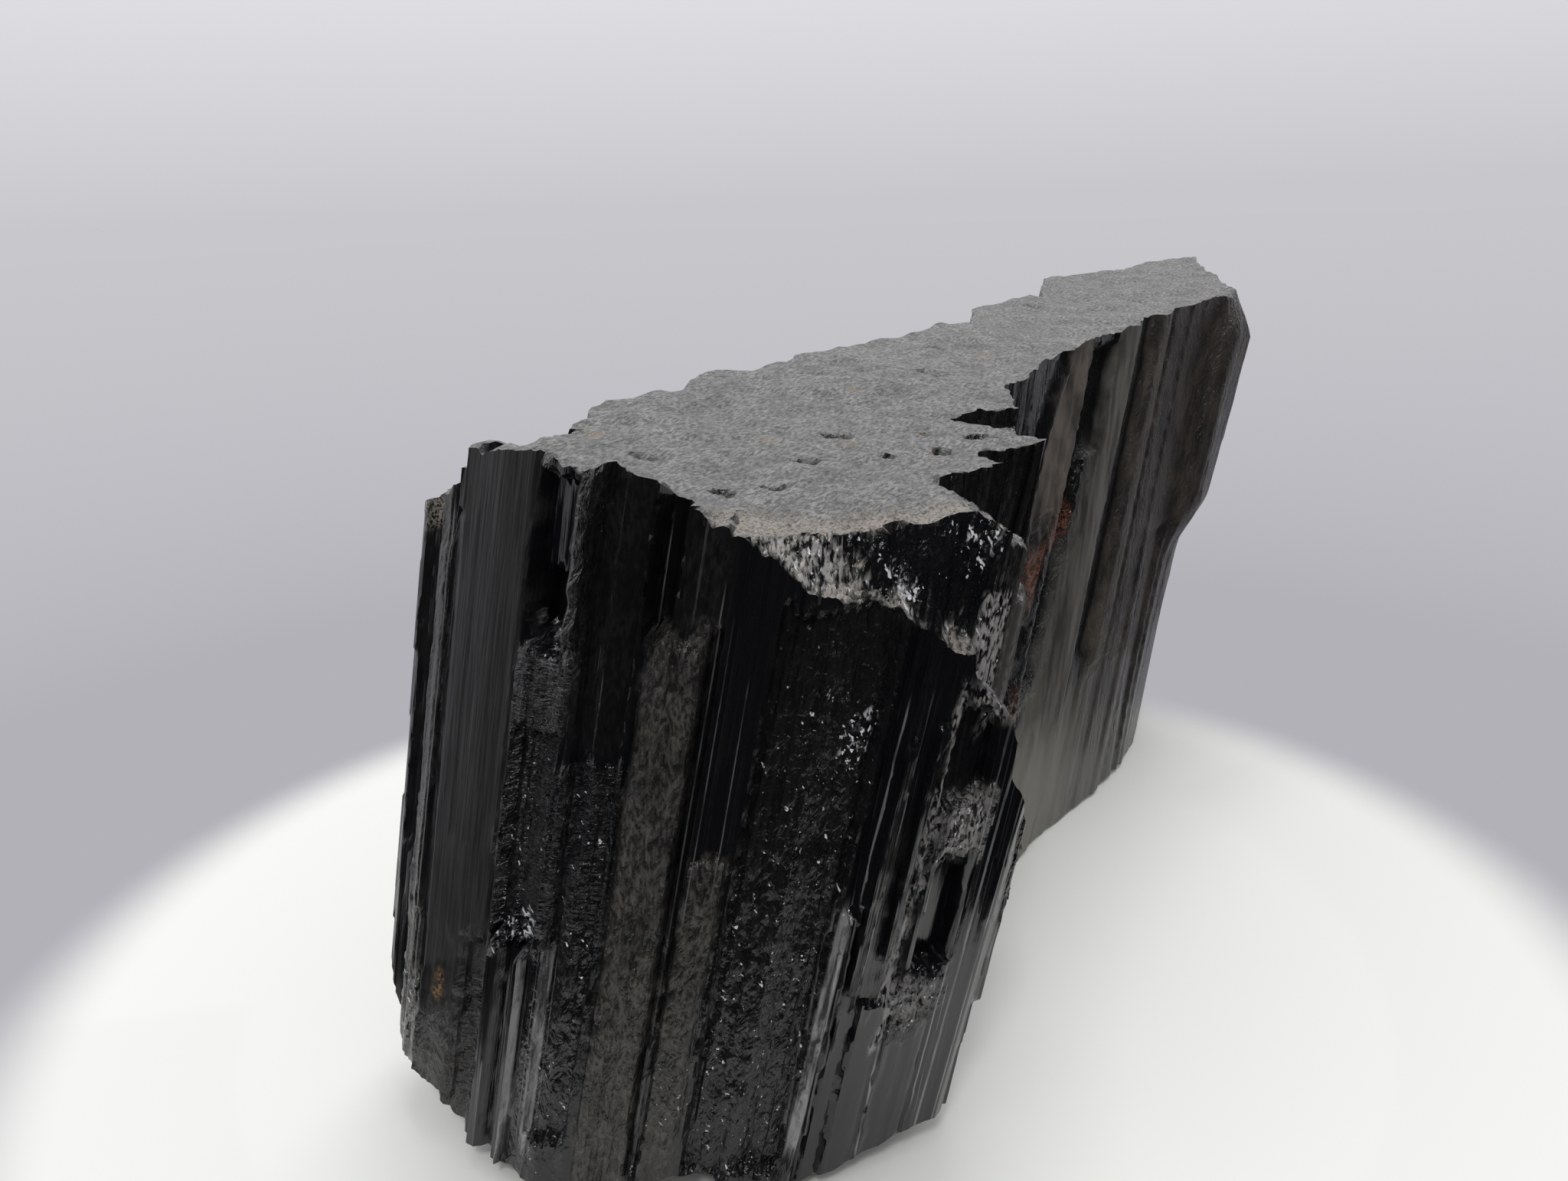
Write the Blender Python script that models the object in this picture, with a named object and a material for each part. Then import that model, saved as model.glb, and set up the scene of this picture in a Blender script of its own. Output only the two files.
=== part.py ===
"""Broken prism of black tourmaline (schorl) as one closed solid.

The crystal grew as a bundle of parallel columns along its c-axis, which leans a little from
upright here. Each side is a plan outline carried up that axis. The outline's straight
stretches are broken into facets in the prism's own directions, every 30 degrees, and plates
stand proud of them or are missing from them. A cleavage-like fracture ends the columns above
and below. The origin is the middle of the bounding box, at the level that the crystal rests on.
"""
import math

import bmesh
import bpy
import numpy as np
from mathutils.geometry import delaunay_2d_cdt

# Sizes below are in millimetres. Each step along the c-axis's height runs sideways by LEAN,
# and HOME is the middle of the whole solid in plan.
MM = 0.001
HOME = np.array([6.696, 24.514])
LEAN = np.array([0.187, 0.100])
LOFT_HEIGHT = 50.0

# Plan outline at the top, counter-clockwise, with the c-axis's lean taken off
FRONT = [(-19.6, -30.6), (-18.4, -36.4), (-7.0, -38.8), (3.0, -39.3), (10.0, -35.8),
         (15.6, -32.6), (19.2, -27.3), (22.9, -21.6), (24.8, -17.0), (19.5, -11.5)]
NOTCH = [(16.0, -11.0), (15.6, -7.5), (11.5, -4.0), (9.0, -0.5)]
FLANK = [(6.0, 3.5), (5.6, 9.5), (4.6, 20.0), (4.0, 32.0), (4.6, 46.0), (5.2, 60.0), (5.0, 66.0)]
FAR_END = [(-2.4, 73.0), (-7.6, 82.0)]
BACK = [(-11.4, 74.5), (-11.0, 63.0), (-15.4, 53.0), (-10.4, 42.8), (-12.6, 31.0), (-9.0, 24.0),
        (-10.4, 16.2), (-13.8, 1.7), (-12.4, -1.7), (-14.9, -12.2), (-12.9, -15.5),
        (-15.4, -23.8), (-12.6, -26.4), (-12.4, -29.6)]

# How far the foot of the flank and far end stands off the line of the top, same order
FLANK_FOOT = [(3.5, 1.5), (4.3, 2.5), (5.4, 2.0), (6.4, 2.0), (6.8, 1.0), (3.8, -1.0), (1.0, -1.0)]
FAR_END_FOOT = [(0.5, -1.0), (0.8, -4.0)]

# Prism faces lie every 30 degrees; a rib is one pair of them
PRISM_STEP = math.radians(30.0)
RIB_FRONT = 3.4
RIB_ELSEWHERE = 4.6
RIB_SEED = 7

# Top fracture: height at the plan's zero and its fall along x and rise along y
TOP_LEVEL = 53.34
TOP_FALL_X = 0.1286
TOP_RISE_Y = 0.0553
# Raised lip along the front edge: distance along the outline, height above the fracture
LIP = [(0.0, 0.0), (12.6, 0.6), (13.5, 1.4), (20.2, 2.0), (23.4, 1.7), (26.4, 2.9),
       (29.3, 2.1), (31.4, 1.4), (32.1, 0.5), (34.7, 0.0)]
LIP_WIDTH = (1.2, 4.6)
# Chipped front corner on the left
LEFT_CHIP_AT = -18.5
LEFT_CHIP_LEVEL = 48.6
LEFT_CHIP_SLOPE = 0.4
LEFT_CHIP_TO = (-10.95, -29.0)
SPIKE_FROM, SPIKE_LEVEL = -11.75, 52.2
# Ledge of the front right chip: distance along the outline, height of its lower edge
LEDGE = [(34.7, 50.3), (35.8, 49.3), (38.8, 47.2), (40.9, 45.7), (43.0, 44.8), (44.9, 44.6),
         (47.1, 43.4), (48.9, 42.0), (50.7, 40.7), (53.3, 40.2)]
LEDGE_SLOPE = 1.1
# Steep faces of that chip: a point on the upper edge, the way it faces, how steeply it falls
CHIP_FACES = [((13.3, -33.4), (0.90, -0.44), 3.0),
              ((20.6, -23.3), (0.25, -0.97), 8.0)]
CHIP_FACING = np.array([0.90, -0.44])
# Wall where the right shoulder split off: a point on it and the way it faces. Below it is a
# broken floor: distance along the outline and height there, and its slope inwards
SPALL_AT = np.array([21.5, -24.1])
SPALL_FACING = np.array([0.976, 0.217])
SPALL_LENGTH = 13.4
SPALL_RIM = [(51.0, 40.4), (52.0, 39.6), (54.0, 37.0), (54.8, 36.5), (56.2, 35.5), (57.2, 33.5),
             (57.4, 30.8), (58.2, 29.6), (60.0, 26.7), (62.0, 25.5), (68.0, 25.0)]
SPALL_SLOPE = 0.5
# Steps behind it. Each: inner corner, the way its riser faces, height of its floor at the
# corner, fall of the floor along x and y, lengths of its face and of its riser
STEPS = [((13.2, -20.6), (0.40, 0.92), 50.95, (0.52, 0.54), 6.2, 3.4),
         ((13.3, -13.1), (0.40, 0.92), 44.4, (0.80, 0.0), 4.4, 6.0),
         ((7.2, -7.1), (0.0, 1.0), 50.6, (0.12, -0.05), 6.6, 5.0)]
# Rounded far corner of the top
FAR_CHIP_AT = np.array([3.4, 65.0])
FAR_CHIP_FACING = np.array([0.90, 0.43])
FAR_CHIP_TOP = 56.6
FAR_CHIP_SLOPE = 1.3

# Foot: distance along the outline and height of the lower edge there, and its slope inwards
FOOT = [(0.0, 15.0), (5.9, 14.0), (6.9, 10.9), (10.4, 5.7), (17.0, 4.2), (18.1, 2.4), (27.6, 1.2),
        (29.0, 0.3), (35.0, 0.3), (38.0, 2.8), (39.4, 3.0), (46.0, 1.0), (54.8, 2.2),
        (59.7, 3.0), (67.3, 1.5), (92.0, 0.5), (150.0, 0.5), (164.0, 4.5), (172.0, 3.0),
        (181.0, 0.8), (275.8, 1.2), (284.5, 6.0), (290.0, 12.0), (298.8, 15.0)]
FOOT_BEVEL = 1.1

# Plates and pits: from, to along the outline; from, to in height; out of the face or, if
# negative, into it
PLATES = [
    (0.0, 6.6, -5.0, 14.5, -1.2),
    (7.7, 9.8, 22.0, 60.0, -0.6),
    (9.6, 19.8, 18.0, 60.0, 0.7),
    (9.6, 17.6, -5.0, 18.0, 0.6),
    (20.6, 24.0, 41.5, 51.2, -2.0),
    (20.6, 25.0, 19.5, 35.5, -0.9),
    (24.6, 26.0, 42.0, 60.0, 0.7),
    (21.0, 22.4, -5.0, 20.0, 0.6),
    (23.4, 24.4, -5.0, 19.0, 0.6),
    (26.3, 29.8, 5.0, 60.0, -0.5),
    (30.1, 31.9, 43.0, 60.0, -2.4),
    (30.7, 34.4, 6.0, 42.5, 0.4),
    (34.5, 35.3, 3.0, 44.0, -0.8),
    (35.4, 37.9, 6.0, 28.0, 0.4),
    (38.6, 46.3, 4.0, 45.0, -0.7),
    (46.8, 47.8, -5.0, 23.4, 0.9),
    (48.0, 49.0, 17.0, 35.0, 0.6),
    (49.5, 52.3, -5.0, 15.5, 0.5),
    (50.3, 51.1, 19.0, 36.0, 0.6),
    (53.1, 56.2, 15.8, 25.2, -1.5),
    (56.2, 59.3, -5.0, 22.0, 0.5),
    (59.7, 62.8, -5.0, 12.0, -0.5),
    (79.0, 84.5, 10.0, 47.0, -0.9),
    (105.3, 111.0, 21.0, 53.2, -1.2),
    (112.4, 117.6, -5.0, 60.0, 0.5),
    (120.0, 128.0, 6.0, 60.0, 0.5),
    (134.0, 140.0, -5.0, 30.0, -0.7),
    (143.0, 158.0, 29.5, 53.0, 2.0),
    (184.0, 190.0, 8.0, 38.0, -0.8),
    (203.0, 210.0, -5.0, 27.0, 0.7),
    (222.0, 227.0, 18.0, 60.0, -0.7),
    (238.0, 243.0, -5.0, 33.0, 0.6),
    (252.0, 258.0, 12.0, 45.0, -0.8),
]
PLATE_EDGE_ALONG = 0.35
PLATE_EDGE_HEIGHT = 0.8

# How closely the surface's points stand; the broken corner of the top takes twice as many
ROWS = 17
EDGE_COLUMNS = 0.45
CAP_SPACING = 1.35
CAP_MARGIN = 0.75
FINE_FROM = np.array([8.0, -40.0])
FINE_TO = np.array([26.0, -3.0])
CREASE_GAP = 0.12

COLOUR = (0.012, 0.012, 0.013, 1.0)
ROUGHNESS = 0.28
IOR = 1.64


def smooth(x):
    """Cubic ease from 0 to 1 as x goes from 0 to 1, held at either end."""
    x = np.clip(x, 0.0, 1.0)
    return x * x * (3.0 - 2.0 * x)


def outlines():
    """Corner points of the top outline and of the foot outline, in the same order."""
    top = np.array(FRONT + NOTCH + FLANK + FAR_END + BACK)
    foot = top.copy()
    first = len(FRONT) + len(NOTCH)
    shift = np.array(FLANK_FOOT + FAR_END_FOOT)
    foot[first:first + len(shift)] += shift
    return top, foot


def runs(corners):
    """Distance along the closed outline at each corner, with the whole length at the end."""
    sides = np.roll(corners, -1, axis=0) - corners
    return np.concatenate([[0.0], np.cumsum(np.hypot(sides[:, 0], sides[:, 1]))])


def facet_offsets(chord, width, rng):
    """Ribs of one straight stretch, as fractions along it and distances out of it.

    The stretch is made up of facets in the two prism directions on either side of its own.
    Their lengths follow from the triangle of the three directions, and are shared out
    unevenly between the ribs.
    """
    length = math.hypot(*chord)
    heading = math.atan2(chord[1], chord[0])
    low = math.floor(heading / PRISM_STEP) * PRISM_STEP
    first_sum = length * math.sin(low + PRISM_STEP - heading) / math.sin(PRISM_STEP)
    second_sum = length * math.sin(heading - low) / math.sin(PRISM_STEP)
    ribs = max(1, round(length / width))
    shares = rng.uniform(0.5, 1.5, (2, ribs))
    shares /= shares.sum(axis=1, keepdims=True)
    lean_low = heading - low
    lean_high = low + PRISM_STEP - heading
    along = 0.0
    out = 0.0
    points = []
    for first, second in (shares * [[first_sum], [second_sum]]).T:
        along += first * math.cos(lean_low)
        out += first * math.sin(lean_low)
        points.append((along / length, out))
        along += second * math.cos(lean_high)
        out -= second * math.sin(lean_high)
        points.append((along / length, out))
    return points[:-1]


def rib_profile(top, length):
    """Distances out of the outline that the ribs give, as two lists to interpolate in."""
    rng = np.random.default_rng(RIB_SEED)
    front_sides = len(FRONT) - 1
    place, out = [], []
    for k in range(len(top)):
        chord = top[(k + 1) % len(top)] - top[k]
        place.append(length[k])
        out.append(0.0)
        width = RIB_FRONT if k < front_sides else RIB_ELSEWHERE
        for fraction, rise in facet_offsets(chord, width, rng):
            place.append(length[k] + fraction * (length[k + 1] - length[k]))
            out.append(rise)
    place.append(length[-1])
    out.append(0.0)
    return np.array(place), np.array(out)


def columns(place, total):
    """Where the solid's columns of points stand: on the ribs and at both edges of plates."""
    edges = []
    for start, end, *_ in PLATES:
        edges += [start - EDGE_COLUMNS / 2, start + EDGE_COLUMNS / 2]
        edges += [end - EDGE_COLUMNS / 2, end + EDGE_COLUMNS / 2]
    spots = np.sort(np.concatenate([place[:-1], np.mod(edges, total)]))
    kept = [spots[0]]
    for spot in spots[1:]:
        if spot - kept[-1] > 0.6 * EDGE_COLUMNS and total - spot > 0.3 * EDGE_COLUMNS:
            kept.append(spot)
    return np.array(kept)


def plate_relief(run, height):
    """Sum of the plates: each is flat between its limits and eases off at its edges."""
    relief = np.zeros(np.broadcast(run, height).shape)
    for start, end, low, high, out in PLATES:
        across = smooth((run - start) / PLATE_EDGE_ALONG + 0.5)
        across = across * smooth((end - run) / PLATE_EDGE_ALONG + 0.5)
        up = smooth((height - low) / PLATE_EDGE_HEIGHT + 0.5)
        up = up * smooth((high - height) / PLATE_EDGE_HEIGHT + 0.5)
        relief += out * across * up
    return relief


def wall(run, height, shape):
    """Plan position of the crystal's side, the given distance along it and at that height.

    The two outlines are mixed by height. The point then moves out of the side by the ribs
    and plates, along a direction that turns evenly from one stretch to the next.
    """
    top, foot, length, place, out = shape
    closed_top = np.vstack([top, top[:1]])
    closed_foot = np.vstack([foot, foot[:1]])
    mix = height / LOFT_HEIGHT
    base = [np.interp(run, length, closed_foot[:, i]) * (1 - mix)
            + np.interp(run, length, closed_top[:, i]) * mix for i in (0, 1)]
    middle = (length[1:] + length[:-1]) / 2
    sides = np.diff(closed_top, axis=0)
    angle = np.unwrap(np.arctan2(-sides[:, 0], sides[:, 1]))
    middle = np.concatenate([[middle[-1] - length[-1]], middle, [middle[0] + length[-1]]])
    angle = np.concatenate([[angle[-1] - 2 * math.pi], angle, [angle[0] + 2 * math.pi]])
    facing = np.interp(run, middle, angle)
    relief = np.interp(run, place, out) + plate_relief(run, height)
    return np.stack([base[0] + relief * np.cos(facing), base[1] + relief * np.sin(facing)], -1)


def nearest_front(plan):
    """Distance along the front edge of the nearest point on it, and how far off it is."""
    corners = np.array(FRONT)
    length = runs(corners)
    best = np.full(plan.shape[:-1], np.inf)
    at = np.zeros(plan.shape[:-1])
    for k in range(len(corners) - 1):
        side = corners[k + 1] - corners[k]
        share = np.clip(((plan - corners[k]) @ side) / (side @ side), 0.0, 1.0)
        gap = np.linalg.norm(plan - corners[k] - share[..., None] * side, axis=-1)
        at = np.where(gap < best, length[k] + share * (length[k + 1] - length[k]), at)
        best = np.minimum(gap, best)
    return at, best


def top_height(plan):
    """Height of the upper fracture over a plan position.

    It is a sloping plane with a lip along the front edge, cut down to the lowest of the
    planes that the chips and steps leave.
    """
    x, y = plan[..., 0], plan[..., 1]
    along, inward = nearest_front(plan)
    height = TOP_LEVEL - TOP_FALL_X * x + TOP_RISE_Y * y
    lip = np.interp(along, *np.array(LIP).T)
    height = height + lip * (1 - smooth((inward - LIP_WIDTH[0]) / (LIP_WIDTH[1] - LIP_WIDTH[0])))
    left = LEFT_CHIP_LEVEL + LEFT_CHIP_SLOPE * (x - LEFT_CHIP_AT)
    left = np.where(x > SPIKE_FROM, SPIKE_LEVEL, left)
    chipped = (x < LEFT_CHIP_TO[0]) & (y < LEFT_CHIP_TO[1])
    height = np.where(chipped, np.minimum(height, left), height)
    ledge = np.interp(along, *np.array(LEDGE).T) + LEDGE_SLOPE * inward
    chip = ledge
    for corner, facing, slope in CHIP_FACES:
        beyond = (plan - np.array(corner)) @ np.array(facing)
        chip = np.maximum(chip, height - slope * beyond)
    height = np.where(along > LEDGE[0][0], np.minimum(height, chip), height)
    for corner, riser, level, falls, _, _ in STEPS:
        offset = plan - np.array(corner)
        inside = (offset @ CHIP_FACING > 0) & (offset @ np.array(riser) > 0)
        floor = level - offset @ np.array(falls)
        height = np.where(inside, np.minimum(height, floor), height)
    floor = np.interp(along, *np.array(SPALL_RIM).T) + SPALL_SLOPE * inward
    split = (plan - SPALL_AT) @ SPALL_FACING > 0
    height = np.where(split, np.minimum(height, floor), height)
    far = FAR_CHIP_TOP - FAR_CHIP_SLOPE * ((plan - FAR_CHIP_AT) @ FAR_CHIP_FACING)
    return np.minimum(height, far)


def build_mesh():
    """Rings of points up the side, with a triangulated fracture above and a flat foot below."""
    top, foot = outlines()
    length = runs(top)
    place, out = rib_profile(top, length)
    shape = (top, foot, length, place, out)
    run = columns(place, length[-1])
    rim = top_height(wall(run, np.full(len(run), LOFT_HEIGHT), shape))
    for _ in range(3):
        rim = top_height(wall(run, rim, shape))
    low = np.interp(run, *np.array(FOOT).T)
    share = np.linspace(0.0, 1.0, ROWS)[:, None]
    height = low + share * (rim - low)
    plan = wall(np.broadcast_to(run, height.shape), height, shape)

    bm = bmesh.new()
    rings = []
    for row in range(ROWS):
        rings.append([bm.verts.new(point(p, h)) for p, h in zip(plan[row], height[row])])
    for lower, upper in zip(rings, rings[1:]):
        for k in range(len(run)):
            k2 = (k + 1) % len(run)
            bm.faces.new((lower[k], lower[k2], upper[k2], upper[k]))
    close(bm, rings[-1], plan[-1], top_height, False)
    close(bm, rings[0], plan[0], lambda p: foot_height(p, plan[0], low), True)
    bmesh.ops.recalc_face_normals(bm, faces=bm.faces)
    mesh = bpy.data.meshes.new("schorl_crystal")
    bm.to_mesh(mesh)
    bm.free()
    return mesh


def foot_height(plan, edge, low):
    """Height of the foot: it falls from the lower edge to the resting level and stays there."""
    gap = np.linalg.norm(plan[:, None, :] - edge[None, :, :], axis=-1)
    return np.maximum(0.0, np.max(low[None, :] - gap * FOOT_BEVEL, axis=1))


def point(plan, height):
    """Place in the scene, in metres, of a plan position at a height."""
    spot = plan + LEAN * height - HOME
    return (spot[0] * MM, spot[1] * MM, height * MM)


def crease_points():
    """Points in pairs astride each step's face and riser and the wall, so all stay sharp."""
    creases = [(SPALL_AT, SPALL_FACING, -1, SPALL_LENGTH)]
    for corner, riser, _, _, face_length, riser_length in STEPS:
        creases += [(corner, CHIP_FACING, -1, face_length), (corner, riser, 1, riser_length)]
    points = []
    for corner, normal, turn, length in creases:
        normal = np.array(normal) / np.linalg.norm(normal)
        along = np.array([turn * normal[1], -turn * normal[0]])
        for reach in np.arange(CAP_SPACING / 2, length, CAP_SPACING):
            spot = np.array(corner) + reach * along
            points += [spot - CREASE_GAP * normal, spot + CREASE_GAP * normal]
    return np.array(points)


def inside_ring(points, edge):
    """Whether each point lies inside the ring, and its distance from it."""
    crossing = np.zeros(len(points), dtype=bool)
    nearest = np.full(len(points), np.inf)
    for a, b in zip(edge, np.roll(edge, -1, axis=0)):
        straddles = (a[1] > points[:, 1]) != (b[1] > points[:, 1])
        reach = a[0] + (points[:, 1] - a[1]) * (b[0] - a[0]) / (b[1] - a[1] + 1e-12)
        crossing ^= straddles & (points[:, 0] < reach)
        side = b - a
        share = np.clip(((points - a) @ side) / (side @ side), 0.0, 1.0)
        gap = np.linalg.norm(points - a - share[:, None] * side, axis=1)
        nearest = np.minimum(nearest, gap)
    return crossing, nearest


def inner_points(edge, detailed):
    """Triangular grid inside a ring, twice as fine over the broken corner of the top."""
    low, high = edge.min(axis=0), edge.max(axis=0)
    columns_x = np.arange(low[0], high[0], CAP_SPACING)
    rows_y = np.arange(low[1], high[1], CAP_SPACING)
    grid = np.stack(np.meshgrid(columns_x, rows_y), -1)
    grid[1::2, :, 0] += CAP_SPACING / 2
    keep = np.zeros(grid.shape[:2], dtype=bool)
    keep[::2, ::2] = True
    keep[1::4, 1::2] = False
    if detailed:
        keep |= np.all((grid > FINE_FROM) & (grid < FINE_TO), axis=-1)
    grid = grid[keep]
    if detailed:
        creases = crease_points()
        gap = np.linalg.norm(grid[:, None, :] - creases[None, :, :], axis=-1).min(axis=1)
        grid = np.vstack([grid[gap > CAP_SPACING / 2], creases])
    crossing, nearest = inside_ring(grid, edge)
    return grid[crossing & (nearest > CAP_MARGIN)]


def close(bm, ring, edge, level, downward):
    """Fill a ring with triangles over inner points that follow the given level."""
    inner = inner_points(edge, not downward)
    verts = list(ring) + [bm.verts.new(point(p, h)) for p, h in zip(inner, level(inner))]
    count = len(ring)
    borders = [(k, (k + 1) % count) for k in range(count)]
    flat = [tuple(p) for p in np.vstack([edge, inner])]
    _, _, faces, origin, _, _ = delaunay_2d_cdt(flat, borders, [], 1, 1e-7)
    for face in faces:
        corners = [verts[origin[k][0]] for k in face]
        bm.faces.new(corners[::-1] if downward else corners)


def black_tourmaline():
    """Opaque black crystal with a glassy surface."""
    material = bpy.data.materials.new("black_tourmaline")
    material.use_nodes = True
    shader = material.node_tree.nodes["Principled BSDF"]
    shader.inputs["Base Color"].default_value = COLOUR
    shader.inputs["Roughness"].default_value = ROUGHNESS
    shader.inputs["Metallic"].default_value = 0.0
    shader.inputs["IOR"].default_value = IOR
    return material


for old in list(bpy.data.objects):
    bpy.data.objects.remove(old)

crystal_mesh = build_mesh()
crystal_mesh.materials.append(black_tourmaline())
crystal = bpy.data.objects.new("schorl_crystal", crystal_mesh)
bpy.context.scene.collection.objects.link(crystal)
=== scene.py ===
"""Broken prism of black tourmaline (schorl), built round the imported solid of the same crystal."""

import math

import bpy
import numpy as np
from mathutils import Matrix, Vector
from mathutils.geometry import delaunay_2d_cdt


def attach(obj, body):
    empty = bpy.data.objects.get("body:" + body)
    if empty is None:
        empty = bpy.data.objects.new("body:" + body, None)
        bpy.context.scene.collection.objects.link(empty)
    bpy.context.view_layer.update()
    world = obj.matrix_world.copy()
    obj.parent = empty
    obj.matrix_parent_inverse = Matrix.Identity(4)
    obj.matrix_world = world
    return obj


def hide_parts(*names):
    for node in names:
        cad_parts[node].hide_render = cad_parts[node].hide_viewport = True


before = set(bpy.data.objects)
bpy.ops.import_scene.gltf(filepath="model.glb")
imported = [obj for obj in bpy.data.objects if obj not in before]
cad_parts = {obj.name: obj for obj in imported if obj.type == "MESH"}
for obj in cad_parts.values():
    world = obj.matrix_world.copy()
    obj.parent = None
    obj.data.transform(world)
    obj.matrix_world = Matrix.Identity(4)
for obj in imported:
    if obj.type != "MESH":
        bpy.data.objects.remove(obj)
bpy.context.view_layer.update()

# The crystal: one piece of schorl, the black iron tourmaline, snapped out of a longer prism.
# It grew as a bundle of parallel needles along the c-axis, so its sides are ribbed and
# striated that way, and its top is a rough break across all of the needles.
# Sizes are in millimetres. Plan positions have the lean of the c-axis taken off, and the
# part's own zero lies at HOME in them.
MM = 0.001
HOME = np.array([6.696, 24.514])
LEAN = np.array([0.187, 0.100])
LOFT_HEIGHT = 50.0

# Plan outline LOFT_HEIGHT up, counter-clockwise from the left edge of the near face
FRONT = [
    (-19.6, -30.6), (-18.4, -36.4), (-7, -38.8), (3, -39.3), (10, -35.8), (15.6, -32.6), (19.2, -27.3),
    (22.9, -21.6), (24.8, -17), (19.5, -11.5)]
NOTCH = [(16, -11), (15.6, -7.5), (11.5, -4), (9, -0.5)]
FLANK = [(6, 3.5), (5.6, 9.5), (4.6, 20), (4, 32), (4.6, 46), (5.2, 60), (5, 66)]
FAR_END = [(-2.4, 73), (-7.6, 82)]
BACK = [
    (-11.4, 74.5), (-11, 63), (-15.4, 53), (-10.4, 42.8), (-12.6, 31), (-9, 24), (-10.4, 16.2),
    (-13.8, 1.7), (-12.4, -1.7), (-14.9, -12.2), (-12.9, -15.5), (-15.4, -23.8), (-12.6, -26.4),
    (-12.4, -29.6)]
# How far the foot of the flank and far end stands off the line of the top, same order
FLANK_FOOT = [(3.5, 1.5), (4.3, 2.5), (5.4, 2), (6.4, 2), (6.8, 1), (3.8, -1), (1, -1)]
FAR_END_FOOT = [(0.5, -1), (0.8, -4)]
# Distance along the outline where the near face and the notch end, and where the flank ends
NEAR_TO, FLANK_TO = 68.0, 165.0

# Ribs are pairs of prism faces, which lie every 30 degrees
PRISM_STEP = math.radians(30.0)
RIB_FRONT, RIB_ELSEWHERE = 3.4, 4.6
RIB_SEED = 7

# A zone of the sides is: from, to along the outline; from, to in height.
# Plates and pits: zone, and how far it stands out of the face or, below 0, goes into it
PLATES = [
    (0, 6.6, -5, 14.5, -1.2), (7.7, 9.8, 22, 60, -0.6), (9.6, 19.8, 18, 60, 0.7),
    (9.6, 17.6, -5, 18, 0.6), (20.6, 23, 42.2, 46.2, -1.2), (20.6, 25, 19.5, 35.5, -0.9),
    (24.6, 26, 42, 60, 0.7), (21, 22.4, -5, 20, 0.6), (23.4, 24.4, -5, 19, 0.6),
    (26.3, 29.8, 5, 60, -0.5), (30.1, 31.9, 43, 60, -2.4), (30.7, 34.4, 6, 42.5, 0.4),
    (34.5, 35.3, 3, 44, -0.8), (35.4, 37.9, 6, 28, 0.4), (38.6, 46.3, 3, 45, -0.7),
    (46.8, 47.8, -5, 23.4, 0.9), (48, 49, 17, 35, 0.6), (49.5, 52.3, -5, 15.5, 0.5),
    (50.3, 51.1, 19, 36, 0.6), (53.1, 56.2, 17.2, 25.6, -1.4), (52.2, 55.6, 29.8, 36.4, -1.3),
    (59.7, 62.8, -5, 12, -0.5), (79, 84.5, 10, 47, -0.9), (97.2, 99, 25, 60, -0.8),
    (105.3, 109.6, 21, 53.2, -1.3), (109.2, 113.4, 43, 53.2, -1.2), (112.4, 117.6, -5, 60, 0.5),
    (119.2, 122.4, 20, 60, -0.4), (123.4, 126.4, 18, 60, 0.4), (134, 140, -5, 30, -0.5),
    (184, 190, 14, 60, -0.6), (203, 210, -5, 27, 0.5), (238, 243, -5, 33, 0.5),
    (252, 258, 18, 60, -0.6)]
# Pit beside the left column, which deepens downwards: zone, depth at its foot and at its top,
# softness. Swell of the far end: zone, how far out, softness
PIT = (20.5, 24.1, 41.3, 52.6, 1.2, 0.9, 0.4)
SWELL = (142.0, 158.0, 28.5, 54.0, 2.1, 7.0)
# Width of the plates' edges at distances along the outline, across and up
PLATE_EDGE_ALONG = [(0, 0.22), (68, 0.22), (75, 0.8), (290, 0.8)]
PLATE_EDGE_HEIGHT = [(0, 0.5), (68, 0.5), (75, 1), (140, 1.5), (165, 7), (290, 7)]
# These edges wander up on grain of two sizes, by this share of it along the outline, and less
# between the wall and the flank. As far as the wall, needle ends fray them: how far, and the
# needles' width, reach and seed
EDGE_WANDERS, EDGE_SCALE, PLATE_WANDER = ((0.22, 1.3, 21), (0.12, 3.1, 22)), 0.9, 0.4
FRAYED_TO, FRAY, FRAY_NEEDLES = 55.8, 0.5, (0.45, 500.0, 14)
STRAIGHTER = 0.3

# Flat faces wider than a rib: from, to along the outline, and how far out it stands at each
FLAT_FACES = [
    (13.9, 20, 0.7, -0.8), (46.6, 47.5, 0.3, -0.2), (48, 51.6, 0.5, 0.1), (52.4, 56.1, 0.4, 0)]
FLAT_FACE_EDGE = 0.2

# Striations: width of a needle, the height it runs between breaks, how far it stands in or
# out, and seed. They are much weaker on the flank and on smooth faces
NEEDLES = [(2.3, 34.0, 0.20, 11), (0.85, 21.0, 0.13, 12), (0.36, 13.0, 0.06, 13)]
FLANK_NEEDLES_FROM, FLANK_NEEDLES = 104.0, 0.25
SMOOTHING = 0.85

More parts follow.
